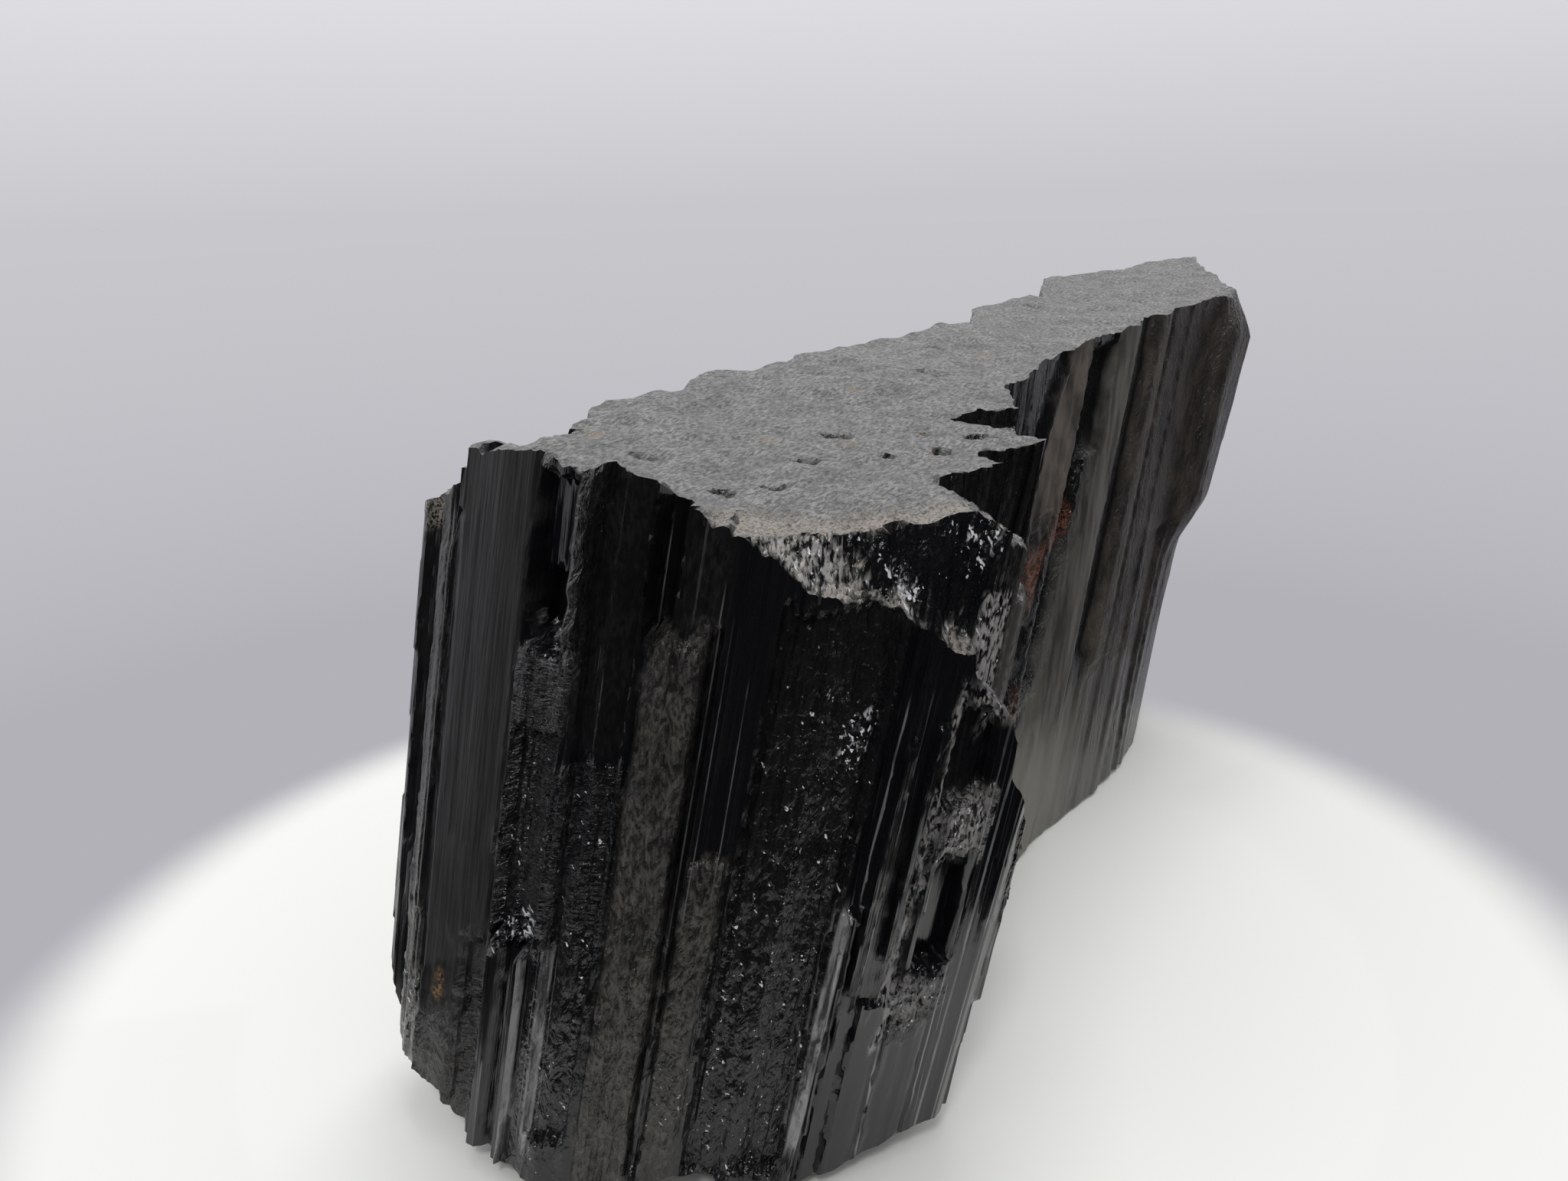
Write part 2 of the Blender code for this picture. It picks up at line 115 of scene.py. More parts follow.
# Broken skin on the sides: zone, depth, and how wide and how tall its humps are. Its borders
# are soft, upwards softest past the near face
HACKLY = [
    (0.8, 4.6, 14, 47, 0.1, 1.2, 2.2), (9.9, 12.6, 8, 52, 0.1, 1, 3),
    (13, 20.6, -5, 11.5, 0.1, 1.1, 0.9), (17.9, 20.6, 3, 19, 0.18, 1.1, 0.9),
    (20.4, 25.2, 19.5, 41.5, 0.16, 2.6, 1.1), (24.4, 26.2, 40, 53, 0.3, 1.2, 1.4),
    (25.2, 30.4, -5, 34, 0.14, 1.6, 0.8), (30.6, 34.6, -5, 43.5, 0.1, 0.8, 1.1),
    (35.4, 38.4, -5, 29, 0.1, 0.8, 1.1), (38.6, 46.6, -5, 45.5, 0.17, 1.6, 1.3),
    (52, 56.4, 25.4, 30.4, 0.24, 1.2, 1.7), (52, 56.2, 12.6, 17, 0.3, 1.3, 0.8),
    (60, 80, 18, 43, 0.4, 1.6, 1.3), (84, 103, 8, 38, 0.35, 2, 1.6),
    (103.5, 112, 20, 54, 0.22, 1.6, 3), (122, 165, 16, 62, 0.22, 2.2, 4.5),
    (165, 298, 0, 60, 0.06, 2.4, 9)]
HACKLY_EDGE, HACKLY_FADE, HACKLY_SEED = 0.9, 4.0, 31


def smooth(x):
    """Cubic ease from 0 to 1 as x goes from 0 to 1, held at either end."""
    x = np.clip(x, 0.0, 1.0)
    return x * x * (3.0 - 2.0 * x)


def between(table, run):
    """Value at each distance along the outline, on straight lines between the table's pairs."""
    return np.interp(run, *np.array(table).T)


def lattice_value(cell, seed):
    """Even spread from -1 to 1: the cell's three whole numbers, multiplied and mixed by bits."""
    mixed = np.full(cell.shape[:-1], seed * 7919 + 17, dtype=np.uint32)
    for axis, prime in enumerate((374761393, 668265263, 2246822519)):
        mixed = (mixed ^ cell[..., axis].astype(np.uint32)) * np.uint32(prime)
        mixed = mixed ^ (mixed >> np.uint32(15))
    return mixed.astype(float) / 2.0 ** 31 - 1.0


def grain(place, seed):
    """Smooth random field: each point mixes the lattice values at the eight corners round it."""
    cell = np.floor(place).astype(np.int64)
    share = smooth(place - cell)
    total = np.zeros(place.shape[:-1])
    for corner in np.ndindex(2, 2, 2):
        weight = np.prod(np.where(corner, share, 1.0 - share), axis=-1)
        total += weight * lattice_value(cell + np.array(corner), seed)
    return total


def rough_grain(place, seed):
    """Two sizes of grain, the finer at half the height, with ridges where they cross zero."""
    coarse = 1.0 - 2.0 * np.abs(grain(place, seed))
    fine = 1.0 - 2.0 * np.abs(grain(place * 2.3, seed + 1))
    return (coarse + 0.5 * fine) / 1.5


def waver(place, *layers, kind=grain):
    """Sum of layers of grain, each given by its height, grains to the unit and seed."""
    return sum(height * kind(place * scale, seed) for height, scale, seed in layers)


def outlines():
    """Corner points of the top outline and of the foot outline, in the same order."""
    top = np.array(FRONT + NOTCH + FLANK + FAR_END + BACK)
    foot = top.copy()
    first = len(FRONT) + len(NOTCH)
    shift = np.array(FLANK_FOOT + FAR_END_FOOT)
    foot[first:first + len(shift)] += shift
    return top, foot


def runs(corners):
    """Distance along the closed outline at each corner, with the whole length at the end."""
    sides = np.roll(corners, -1, axis=0) - corners
    return np.concatenate([[0.0], np.cumsum(np.hypot(sides[:, 0], sides[:, 1]))])


def facet_offsets(chord, width, rng):
    """Ribs of one straight stretch, as fractions along it and distances out of it.

    Its facets take the two prism directions on either side of its own. Their lengths follow
    from the triangle of the three, and are shared out unevenly between the ribs.
    """
    length = math.hypot(*chord)
    heading = math.atan2(chord[1], chord[0])
    low = math.floor(heading / PRISM_STEP) * PRISM_STEP
    turn = np.array([[heading - low], [low + PRISM_STEP - heading]])
    ribs = max(1, round(length / width))
    shares = rng.uniform(0.5, 1.5, (2, ribs))
    shares /= shares.sum(axis=1, keepdims=True)
    facets = shares * length * np.sin(turn[::-1]) / math.sin(PRISM_STEP)
    steps_along = (facets * np.cos(turn)).T.ravel()
    steps_out = (facets * np.sin(turn) * [[1], [-1]]).T.ravel()
    return np.cumsum(steps_along)[:-1] / length, np.cumsum(steps_out)[:-1]


def rib_profile(top, length):
    """Distances out of the outline that the ribs give, as two lists to interpolate in."""
    rng = np.random.default_rng(RIB_SEED)
    place, out = [], []
    for k in range(len(top)):
        chord = top[(k + 1) % len(top)] - top[k]
        width = RIB_FRONT if k < len(FRONT) - 1 else RIB_ELSEWHERE
        fraction, rise = facet_offsets(chord, width, rng)
        place += [length[k], *(length[k] + fraction * (length[k + 1] - length[k]))]
        out += [0.0, *rise]
    return np.array(place + [length[-1]]), np.array(out + [0.0])


top_outline, foot_outline = outlines()
corner_run = runs(top_outline)
girth = corner_run[-1]
rib_run, rib_out = rib_profile(top_outline, corner_run)


def span(x, start, end, ease):
    """1 from start to end and 0 outside, eased at either end."""
    return smooth((x - start) / ease + 0.5) * smooth((end - x) / ease + 0.5)


def patch(run, height, start, end, low, high, ease, ease_up=None):
    """1 inside a rectangle of the unrolled side and 0 outside, with an eased border."""
    return span(run, start, end, ease) * span(height, low, high, ease if ease_up is None else ease_up)


def needles(run, height, width, reach, seed):
    """Steps of a bundle of needles, from -1 to 1.

    They share the outline unevenly. Each stands in or out by its own amount between breaks at
    uneven heights, and its face is tilted a little across.
    """
    rng = np.random.default_rng(seed)
    count = round(girth / width)
    borders = np.cumsum(rng.uniform(0.4, 1.6, count))
    borders = np.concatenate([[0.0], borders * girth / borders[-1]])
    which = np.clip(np.searchsorted(borders, np.mod(run, girth), side="right") - 1, 0, count - 1)
    across = (np.mod(run, girth) - borders[which]) / np.diff(borders)[which] - 0.5
    level = height / (reach * rng.uniform(0.6, 1.4, count)[which]) + rng.uniform(0, 8, count)[which]
    stand = rng.uniform(-1.0, 1.0, (count, 16))[which, np.floor(level).astype(int) % 16]
    return 0.8 * stand + 0.6 * rng.uniform(-1.0, 1.0, count)[which] * across


# Where striations aren't quite upright: distance along the outline, and how far aside they run
# for each unit of height
SLANT = [
    (0, 0), (36, 0), (47, 0.03), (60, 0.03), (66, 0), (97, 0), (106, 0.31), (114, 0.23), (140, 0.2),
    (160, 0), (300, 0)]
MID_HEIGHT = 30.0


def along_needles(run, height):
    """Distance along the outline at which the needle through this spot stands at mid-height."""
    return run - between(SLANT, run) * (height - MID_HEIGHT)


# Faces that grew smooth: zone and how smooth
SMOOTH_FACES = [
    (13.9, 20, 15, 55, 0.9), (20.4, 24.2, 42, 54, 0.8), (48, 52, 0, 15, 1), (52.6, 56, 0, 11.5, 0.9),
    (53.1, 56.1, 17.5, 25.2, 1), (56.4, 60.5, 0, 33, 0.8), (24.2, 27, 2, 20, 0.9),
    (46.6, 47.4, 2, 23.4, 0.7), (56, 61, 0, 30, 0.7), (26.3, 30.2, 34, 53, 0.7)]
# Low borders on the flank and the back drift up and down on grain of two sizes
DRIFTS = ((2.4, 0.16, 83), (1.2, 0.6, 84))
DRIFT_BELOW, DRIFT_FADE = 28.0, 8.0


def low_drift(run, height):
    """Height that the low borders drift by: the grain along the outline, none on the near face."""
    drift = waver(np.stack([run, 0 * run, 0 * run], -1), *DRIFTS)
    return drift * smooth((run - NEAR_TO) / DRIFT_FADE) * smooth((DRIFT_BELOW - height) / DRIFT_FADE)


# How far the borders of a finish wander along the outline and up, how soft they are, and the
# grain of two sizes that they wander on, with its scales
WANDER_ALONG, WANDER_UP, ZONE_EDGE = 0.6, 1.5, 1.0
WANDERS, SCALE_ALONG, SCALE_UP = ((0.6, 1.0, 81), (0.3, 2.7, 82)), 0.7, 0.5


def paint(zones, run, height, ease_up=ZONE_EDGE):
    """Strongest of the zones at each spot of the side, with wandering borders."""
    height = height + low_drift(run, height)
    wander = waver(np.stack([run * SCALE_ALONG, height * SCALE_UP, 0 * run], -1), *WANDERS)
    along, up = run + WANDER_ALONG * wander, height + WANDER_UP * wander
    value = np.zeros(run.shape)
    for start, end, low, high, strength in zones:
        area = patch(along, up, start, end, low, high, ZONE_EDGE, ease_up)
        value = np.maximum(value, strength * area)
    return value


def side_relief(run, height):
    """Distance out of the outline: ribs, plates, needles and the humps of broken skin."""
    needle_run = along_needles(run, height)
    relief = np.interp(np.mod(needle_run, girth), rib_run, rib_out)
    for start, end, out_start, out_end in FLAT_FACES:
        face = out_start + (out_end - out_start) * (needle_run - start) / (end - start)
        relief = relief + span(needle_run, start, end, FLAT_FACE_EDGE) * (face - relief)
    rough = 1.0 - SMOOTHING * paint(SMOOTH_FACES, needle_run, height)
    spot = np.stack([run * EDGE_SCALE, height * EDGE_SCALE, 0 * run], -1)
    wander = waver(spot, *EDGE_WANDERS)
    wander = wander * np.where((run > FRAYED_TO) & (run < NEAR_TO), STRAIGHTER, 1.0)
    frayed = height + FRAY * needles(needle_run, height, *FRAY_NEEDLES) * (run < FRAYED_TO)
    frayed = frayed + wander
    edge, edge_up = between(PLATE_EDGE_ALONG, run), between(PLATE_EDGE_HEIGHT, run)
    for start, end, low, high, out in PLATES:
        along = needle_run + PLATE_WANDER * wander
        relief = relief + out * patch(along, frayed, start, end, low, high, edge, edge_up)
    *zone, deep, shallow, soft = PIT
    depth = np.interp(height + wander, zone[2:], [deep, shallow])
    relief = relief - depth * patch(needle_run + wander, height + wander, *zone, soft)
    *zone, out, soft = SWELL
    relief = relief + out * patch(needle_run, height, *zone, soft)
    on_flank = (needle_run > FLANK_NEEDLES_FROM) & (needle_run < FLANK_TO)
    rough = rough * np.where(on_flank, FLANK_NEEDLES, 1.0)
    for width, reach, out, seed in NEEDLES:
        relief = relief + out * rough * needles(needle_run, height, width, reach, seed)
    border_height = height + 2.0 * wander + low_drift(run, height)
    for k, (start, end, low, high, depth, wide, tall) in enumerate(HACKLY):
        fade = HACKLY_EDGE if end < NEAR_TO else HACKLY_FADE
        border = patch(needle_run + wander, border_height, start, end, low, high, HACKLY_EDGE, fade)
        humps = rough_grain(np.stack([run / wide, height / tall, 0 * run + k], -1), HACKLY_SEED + k)
        relief = relief + depth * border * rough * humps
    return relief


def side_place(run, height):
    """Plan position of the crystal's side, the given distance along it and at that height.

    The two outlines are mixed by height. The point then moves out by the relief, along a
    direction that turns evenly from one stretch to the next.
    """
    foot_share = 1.0 - height / LOFT_HEIGHT
    low, high = ([np.interp(run, corner_run[:-1], row, period=girth) for row in outline.T]
                 for outline in (foot_outline, top_outline))
    middle = (corner_run[1:] + corner_run[:-1]) / 2
    sides = np.roll(top_outline, -1, axis=0) - top_outline
    angle = np.unwrap(np.tile(np.arctan2(-sides[:, 0], sides[:, 1]), 3))
    facing = np.interp(run, np.concatenate([middle - girth, middle, middle + girth]), angle)
    relief = side_relief(run, height)
    return np.stack([low[0] * foot_share + high[0] * (1.0 - foot_share) + relief * np.cos(facing),
                     low[1] * foot_share + high[1] * (1.0 - foot_share) + relief * np.sin(facing)], -1)


# The top break: height at the plan's zero and its fall along x and rise along y
TOP_LEVEL, TOP_FALL_X, TOP_RISE_Y = 53.34, 0.1286, 0.0553
# Raised lip along the front edge: distance along the outline, height above the break
LIP = [
    (0, 0), (12.6, 0.6), (13.5, 1.4), (20.2, 2), (23.4, 1.7), (26.4, 2.9), (29.3, 2.1), (31.4, 1.4),
    (32.1, 0.5), (34.7, 0)]
LIP_WIDTH = (0.4, 3.4)
# Chipped corner on the left, with a spike at its right end
LEFT_CHIP_AT, LEFT_CHIP_LEVEL, LEFT_CHIP_SLOPE = -18.5, 48.6, 0.4
LEFT_CHIP_TO = (-10.95, -29.0)
SPIKE_FROM, SPIKE_LEVEL = -11.75, 52.2
# Ledge of the front right chip: distance along the outline, height of its lower edge
LEDGE = [
    (34.7, 50.3), (35.8, 49.3), (38.8, 47.2), (40.9, 45.7), (43, 44.8), (44.9, 44.6), (47.1, 43.4),
    (48.9, 42), (50.7, 40.7), (53.3, 40.2)]
LEDGE_SLOPE = [(35, 1.4), (42, 1.2), (46, 0.9)]
# Edge of the even part above the chip, in plan, where it droops, and the chip's slope below it
CHIP_EDGE = np.array([(8.6, -38.0), (8.9, -34.0), (11.0, -32.6), (12.6, -32.1), (13.6, -30.8),
                      (15.3, -28.3), (17.4, -25.2), (18.3, -23.4), (19.7, -22.7), (22.8, -22.8)])
CHIP_FACING = np.array([0.90, -0.44])
CHIP_SLOPE = [(49.5, 3), (51.8, 8.5)]
EDGE_DROOP, DROOP_WIDTH = 0.45, 2.0
# Wall where the right shoulder split off: a point on it and the way it faces. Broken floor
# below it: distance along the outline, height there, and slope inwards
SPALL_AT = np.array([21.5, -24.1])
SPALL_FACING = np.array([0.976, 0.217])
SPALL_RIM = [
    (51, 40.4), (52, 39.6), (54, 37), (54.8, 36.5), (56.2, 35.5), (57.2, 33.5), (57.4, 30.8),
    (58.2, 29.6), (60, 26.7), (62, 25.5), (68, 25)]
SPALL_SLOPE = 0.5
# Steps behind the chip: inner corner, the way the riser faces, height of the floor at the
# corner, and its fall along x and y
STEPS = [((13.2, -20.6), (0.40, 0.92), 50.95, (0.52, 0.54)),
         ((13.3, -13.1), (0.40, 0.92), 44.4, (0.80, 0.0)),
         ((7.2, -7.1), (0.0, 1.0), 50.6, (0.12, -0.05))]
FAR_CHIP_AT = np.array([3.4, 65.0])
FAR_CHIP_FACING = np.array([0.90, 0.43])
FAR_CHIP_TOP, FAR_CHIP_SLOPE = 56.6, 1.3
# Nicks in the rim: distance along the outline, half their width, depth
RIM_NICKS = [
    (15.2, 0.5, 1.8), (20.6, 0.8, 1), (22.4, 0.7, 0.5), (24.1, 0.9, 0.9), (30.9, 0.9, 1.2),
    (33.6, 0.5, 0.5)]
NICK_REACH = 1.6
# Needle ends on the break: width, how far their heights differ on the even part, how much more
# where it is broken, and the drop at which it is wholly broken
NEEDLE_END, END_STEP, BROKEN_END_STEP, BROKEN_DROP = 0.42, 0.056, 0.08, 1.5
# Grain as height, grains to the millimetre and seed: of the break's waves, of its parts'
# borders (along y, the next seeds), and of the borders of the left chip and the wall
WAVES = ((0.30, 0.16, 72), (0.16, 0.37, 73))
WANDER, FRAY_OUT = (0.35, 0.9, 51), (0.16, 3.0, 53)
LEFT_CHIP_WAVES, WALL_WAVES = ((0.25, 1.6, 58), (0.12, 3.0, 53)), (0.25, 1.2, 57)
# Terraces: height of one; how many to a grain, grains to the millimetre and seed. Then the
# grain of the ridges, everywhere and where it is broken
TERRACE, TERRACES = 0.16, (2.5, 0.5, 66)
RIDGES, BROKEN_RIDGES = ((0.14, 0.35, 62), (0.06, 1.1, 68)), (0.12, 1.0, 64)
# Pits in the top: plan position, radius along and across the line they follow, depth. Then
# how ragged they are and how soft their walls
PITS = [
    (4.96, -31.5, 0.7, 0.6, 0.45), (6.94, -28.93, 1.2, 0.35, 0.35), (5.56, -23.71, 1.4, 0.35, 0.35),
    (3.67, -17.19, 1.2, 0.9, 0.6), (7.48, -12.1, 1.2, 0.8, 0.6), (10.67, -14.17, 0.8, 0.7, 0.5),
    (11.43, -9.73, 1.1, 0.7, 0.6), (-3.57, -30.3, 1.2, 0.6, 0.35), (8.81, -18.93, 1.2, 0.3, 0.3),
    (-1.5, 3, 1.4, 0.9, 0.5), (-6, 12, 1.2, 0.8, 0.5), (-8.5, 36, 1.5, 0.9, 0.6),
    (-2, 48, 1.3, 0.8, 0.5)]
PIT_LINE = np.array([0.8, 0.6])
PIT_RAGGED, PIT_WALL = (0.5, 1.1, 91), 0.6


def flat_spot(plan):
    """Plan positions with a height of 0."""
    return np.concatenate([plan, np.zeros(plan.shape[:-1] + (1,))], -1)


def pit_share(plan):
    """How deep in a pit each plan position lies, 1 on its floor, and the depth there."""
    share, depth = np.zeros(plan.shape[:-1]), np.zeros(plan.shape[:-1])
    ragged = waver(flat_spot(plan), PIT_RAGGED)
    for x, y, long, wide, deep in PITS:
        offset = plan - np.array([x, y])
        along = offset @ PIT_LINE
        across = offset[..., 1] * PIT_LINE[0] - offset[..., 0] * PIT_LINE[1]
        off = np.hypot(along / long, across / wide) + ragged
        inside = 1.0 - smooth((off - 0.5) / PIT_WALL)
        depth = np.where(inside > share, deep * inside, depth)
        share = np.maximum(share, inside)
    return share, depth


def nearest_side(plan, corners):
    """Nearest point on a line of corners: distance to it along the line, and how far off it is.

    The second is more than 0 to the right of the line and less than 0 to its left.
    """
    length = runs(corners)
    best = np.full(plan.shape[:-1], np.inf)
    along, aside = np.zeros(best.shape), np.zeros(best.shape)
    for k, (a, b) in enumerate(zip(corners, corners[1:])):
        side = b - a
        share = np.clip(((plan - a) @ side) / (side @ side), 0.0, 1.0)
        off = plan - a - share[..., None] * side
        gap = np.linalg.norm(off, axis=-1)
        across = off[..., 0] * side[1] - off[..., 1] * side[0]
        along = np.where(gap < best, length[k] + share * (length[k + 1] - length[k]), along)
        aside = np.where(gap < best, np.copysign(gap, across), aside)
        best = np.minimum(gap, best)
    return along, aside


def from_front(plan):
    """Distance along the front edge of the nearest point on it, and how far off it is."""
    along, aside = nearest_side(plan, np.array(FRONT))
    return along, np.abs(aside)


def beyond_wall(plan):
    """How far outside the plane of the split-off shoulder's wall a plan position lies."""
    return (plan - SPALL_AT) @ SPALL_FACING


def break_plane(plan):
    """Height of the even part of the upper break over a plan position."""
    return TOP_LEVEL - TOP_FALL_X * plan[..., 0] + TOP_RISE_Y * plan[..., 1]


def ledge_height(along, inward):
    """Height of the chip's ledge: its lower edge along the outline, rising inwards."""
    return between(LEDGE, along) + between(LEDGE_SLOPE, along) * inward


def top_height(spot):
    """Height of the upper break over a plan position.

    A sloping plane with a lip along the front edge is cut down to the lowest plane that the
    chips and steps leave. Needle ends, waves and pits are added.
    """
    flat = flat_spot(spot)
    wander = [waver(flat, *(layer[:2] + (layer[2] + k,) for layer in (WANDER, FRAY_OUT)))
              for k in (0, 1)]
    plan = spot + np.stack(wander, -1)
    along, inward = from_front(spot)
    height = break_plane(plan)
    lip_share = 1 - smooth((inward - LIP_WIDTH[0]) / (LIP_WIDTH[1] - LIP_WIDTH[0]))
    height = height + between(LIP, along) * lip_share
    for at, wide, deep in RIM_NICKS:
        nick = np.clip(1.0 - np.abs(along - at) / wide, 0.0, 1.0)
        height = height - deep * nick * (1.0 - smooth(inward / NICK_REACH))
    left = LEFT_CHIP_LEVEL + LEFT_CHIP_SLOPE * (spot[..., 0] - LEFT_CHIP_AT)
    left = np.where(spot[..., 0] > SPIKE_FROM, SPIKE_LEVEL, left)
    ragged = waver(flat, *LEFT_CHIP_WAVES)
    chipped = np.all(spot + ragged[..., None] < np.array(LEFT_CHIP_TO), axis=-1)
    height = np.where(chipped, np.minimum(height, left), height)
    beyond = nearest_side(plan, CHIP_EDGE)[1]
    right = along > LEDGE[0][0]
    height = height - EDGE_DROOP * smooth((beyond + DROOP_WIDTH) / DROOP_WIDTH) * right
    chip = break_plane(plan) - between(CHIP_SLOPE, along) * beyond
    chip = np.maximum(ledge_height(along, inward), chip)
    height = np.where(right, np.minimum(height, chip), height)
    for corner, riser, level, falls in STEPS:
        offset = plan - np.array(corner)
        inside = (offset @ CHIP_FACING > 0) & (offset @ np.array(riser) > 0)
        height = np.where(inside, np.minimum(height, level - offset @ np.array(falls)), height)
    floor = between(SPALL_RIM, along) + SPALL_SLOPE * inward
    split = beyond_wall(spot) + waver(flat, WALL_WAVES) > 0.0
    height = np.where(split, np.minimum(height, floor), height)
    far = FAR_CHIP_TOP - FAR_CHIP_SLOPE * ((plan - FAR_CHIP_AT) @ FAR_CHIP_FACING)
    height = np.minimum(height, far)
    drop = smooth((break_plane(spot) - height) / BROKEN_DROP)
    ends = lattice_value(np.floor(flat_spot(plan) / NEEDLE_END).astype(np.int64), 61)
    height = height + (END_STEP + BROKEN_END_STEP * drop) * ends + waver(flat, *WAVES)
    height = height + TERRACE * np.floor(waver(flat, TERRACES)) / TERRACES[0]
    height = height + waver(flat, *RIDGES, kind=rough_grain)
    return height + drop * waver(flat, BROKEN_RIDGES, kind=rough_grain) - pit_share(spot)[1]


# The foot: distance along the outline and height of the lower edge, the edge's grain and least
# height, and the slope inwards
FOOT = [
    (0, 15), (5.9, 14), (6.9, 10.9), (10.4, 5.7), (17, 4.2), (18.1, 2.4), (27.6, 1.2), (29, 0.3),
    (35, 0.3), (38, 2.8), (39.4, 3), (46, 1), (54.8, 2.2), (59.7, 3), (67.3, 1.5), (92, 0.5),
    (150, 0.5), (164, 4.5), (172, 3), (181, 0.8), (275.8, 1.2), (284.5, 6), (290, 12), (298.8, 15)]
FOOT_WAVER, FOOT_LEAST = (0.25, 0.8, 71), 0.15
FOOT_BEVEL = 1.1


def foot_height(plan, edge, low):
    """Height of the foot: it falls from the lower edge to the resting level and stays there."""
    gap = np.linalg.norm(plan[:, None, :] - edge[None, :, :], axis=-1)
    return np.maximum(0.0, np.max(low[None, :] - gap * FOOT_BEVEL, axis=1))


# Spacing of the surface's points along the near face, the flank and the back; rows of them up
# the sides; spacing on the top where it is broken, near and far
NEAR_COLUMN, FLANK_COLUMN, BACK_COLUMN = 0.20, 0.46, 0.95
ROWS = 112
CAP_FINE, CAP_NEAR, CAP_FAR = 0.21, 0.42, 0.84
# Broken is what lies this far below the even part and right of the x, or in a pit, in front
# of the first y. Near is the rest in front of the second
BROKEN_BY, BROKEN_X, BROKEN_Y, NEAR_Y = 0.7, 5.0, 0.0, 4.0
FOOT_SPACING = 1.3
# Edges that turn by more than this stay sharp
SHARP_FROM = math.radians(34.0)
# In shares of the spacing: how far points are unsettled, with a seed, and keep off the rim
UNSETTLED, GRID_SEED, RIM_GAP = 0.22, 5, 0.6


def inside_ring(points, edge, spacing):
    """Those of the points that lie inside the ring and don't crowd it."""
    ring = np.vstack([edge, edge[:1]])
    inside = np.abs(nearest_side(points, ring)[1]) > RIM_GAP * spacing
    crossed = np.zeros(len(points), dtype=bool)
    for a, b in zip(ring, ring[1:]):
        straddles = (a[1] > points[:, 1]) != (b[1] > points[:, 1])
        reach = a[0] + (points[:, 1] - a[1]) * (b[0] - a[0]) / (b[1] - a[1] + 1e-12)
        crossed ^= straddles & (points[:, 0] < reach)
    return points[inside & crossed]


def triangle_grid(edge, spacing):
    """Triangular grid over the ring's box, every second row moved half a step, then unsettled."""
    low, high = edge.min(axis=0), edge.max(axis=0)
    grid = np.stack(np.meshgrid(np.arange(low[0], high[0], spacing),
                                np.arange(low[1], high[1], spacing)), -1)
    grid[1::2, :, 0] += spacing / 2
    shift = np.random.default_rng(GRID_SEED).uniform(-UNSETTLED, UNSETTLED, grid.shape)
    return (grid + shift * spacing).reshape(-1, 2)


def top_points(edge):
    """Inner points of the top: fine where it is broken in front, wider apart near and far."""
    kept = []
    for spacing in (CAP_FINE, CAP_NEAR, CAP_FAR):
        grid = triangle_grid(edge, spacing)
        broken = (break_plane(grid) - top_height(grid) > BROKEN_BY) & (grid[:, 0] > BROKEN_X)
        broken = (broken | (pit_share(grid)[0] > 0.0)) & (grid[:, 1] < BROKEN_Y)
        near = (grid[:, 1] < NEAR_Y) & ~broken
        wanted = {CAP_FINE: broken, CAP_NEAR: near, CAP_FAR: ~near & ~broken}[spacing]
        kept.append(inside_ring(grid[wanted], edge, spacing))
    return np.vstack(kept)


def fill(edge, inner):
    """Triangles over the ring's points followed by the inner ones, as rows of three numbers."""
    count = len(edge)
    borders = [(k, (k + 1) % count) for k in range(count)]
    flat = [tuple(p) for p in np.vstack([edge, inner]).tolist()]
    _, _, faces, origin, _, _ = delaunay_2d_cdt(flat, borders, [], 1, 1e-7)
    source = np.array([o[0] for o in origin])
    return source[np.array(faces)]


def place_of(plan, height):
    """Place in the scene, in metres, of plan positions at their heights."""
    spot = plan + LEAN * height[..., None] - HOME
    return np.concatenate([spot, height[..., None]], -1) * MM


def put(name, data):
    """Object in the scene, made of this mesh, light or camera."""
    thing = bpy.data.objects.new(name, data)
    bpy.context.scene.collection.objects.link(thing)
    return thing


run = np.concatenate([
    np.arange(0.0, NEAR_TO, NEAR_COLUMN), np.arange(NEAR_TO, FLANK_TO, FLANK_COLUMN),
    np.linspace(FLANK_TO, girth, round((girth - FLANK_TO) / BACK_COLUMN), endpoint=False)])
# The rim is where the side meets the top: a few rounds bring the two together
rim = top_height(side_place(run, np.full(len(run), LOFT_HEIGHT)))
for _ in range(4):
    rim = 0.5 * (rim + top_height(side_place(run, rim)))
low_edge = between(FOOT, run) + waver(np.stack([run, 0 * run, 0 * run], -1), FOOT_WAVER)
low_edge = np.maximum(low_edge, FOOT_LEAST)
height = low_edge + np.linspace(0.0, 1.0, ROWS)[:, None] * (rim - low_edge)
run_grid = np.broadcast_to(run, height.shape)
plan = side_place(run_grid, height)
top_inner = top_points(plan[-1])
top_inner_height = top_height(top_inner)
foot_inner = inside_ring(triangle_grid(plan[0], FOOT_SPACING), plan[0], FOOT_SPACING)
foot_inner_height = foot_height(foot_inner, plan[0], low_edge)

all_plan = np.vstack([plan.reshape(-1, 2), top_inner, foot_inner])
all_height = np.concatenate([height.ravel(), top_inner_height, foot_inner_height])
index = np.arange(height.size).reshape(height.shape)
turned = np.roll(index, -1, axis=1)
sides = np.stack([index[:-1], turned[:-1], turned[1:], index[1:]], -1).reshape(-1, 4)
after_top = height.size + len(top_inner)
top_index = np.concatenate([index[-1], np.arange(height.size, after_top)])
foot_index = np.concatenate([index[0], np.arange(after_top, len(all_plan))])
top_faces = top_index[fill(plan[-1], top_inner)]
foot_faces = foot_index[fill(plan[0], foot_inner)][:, ::-1]

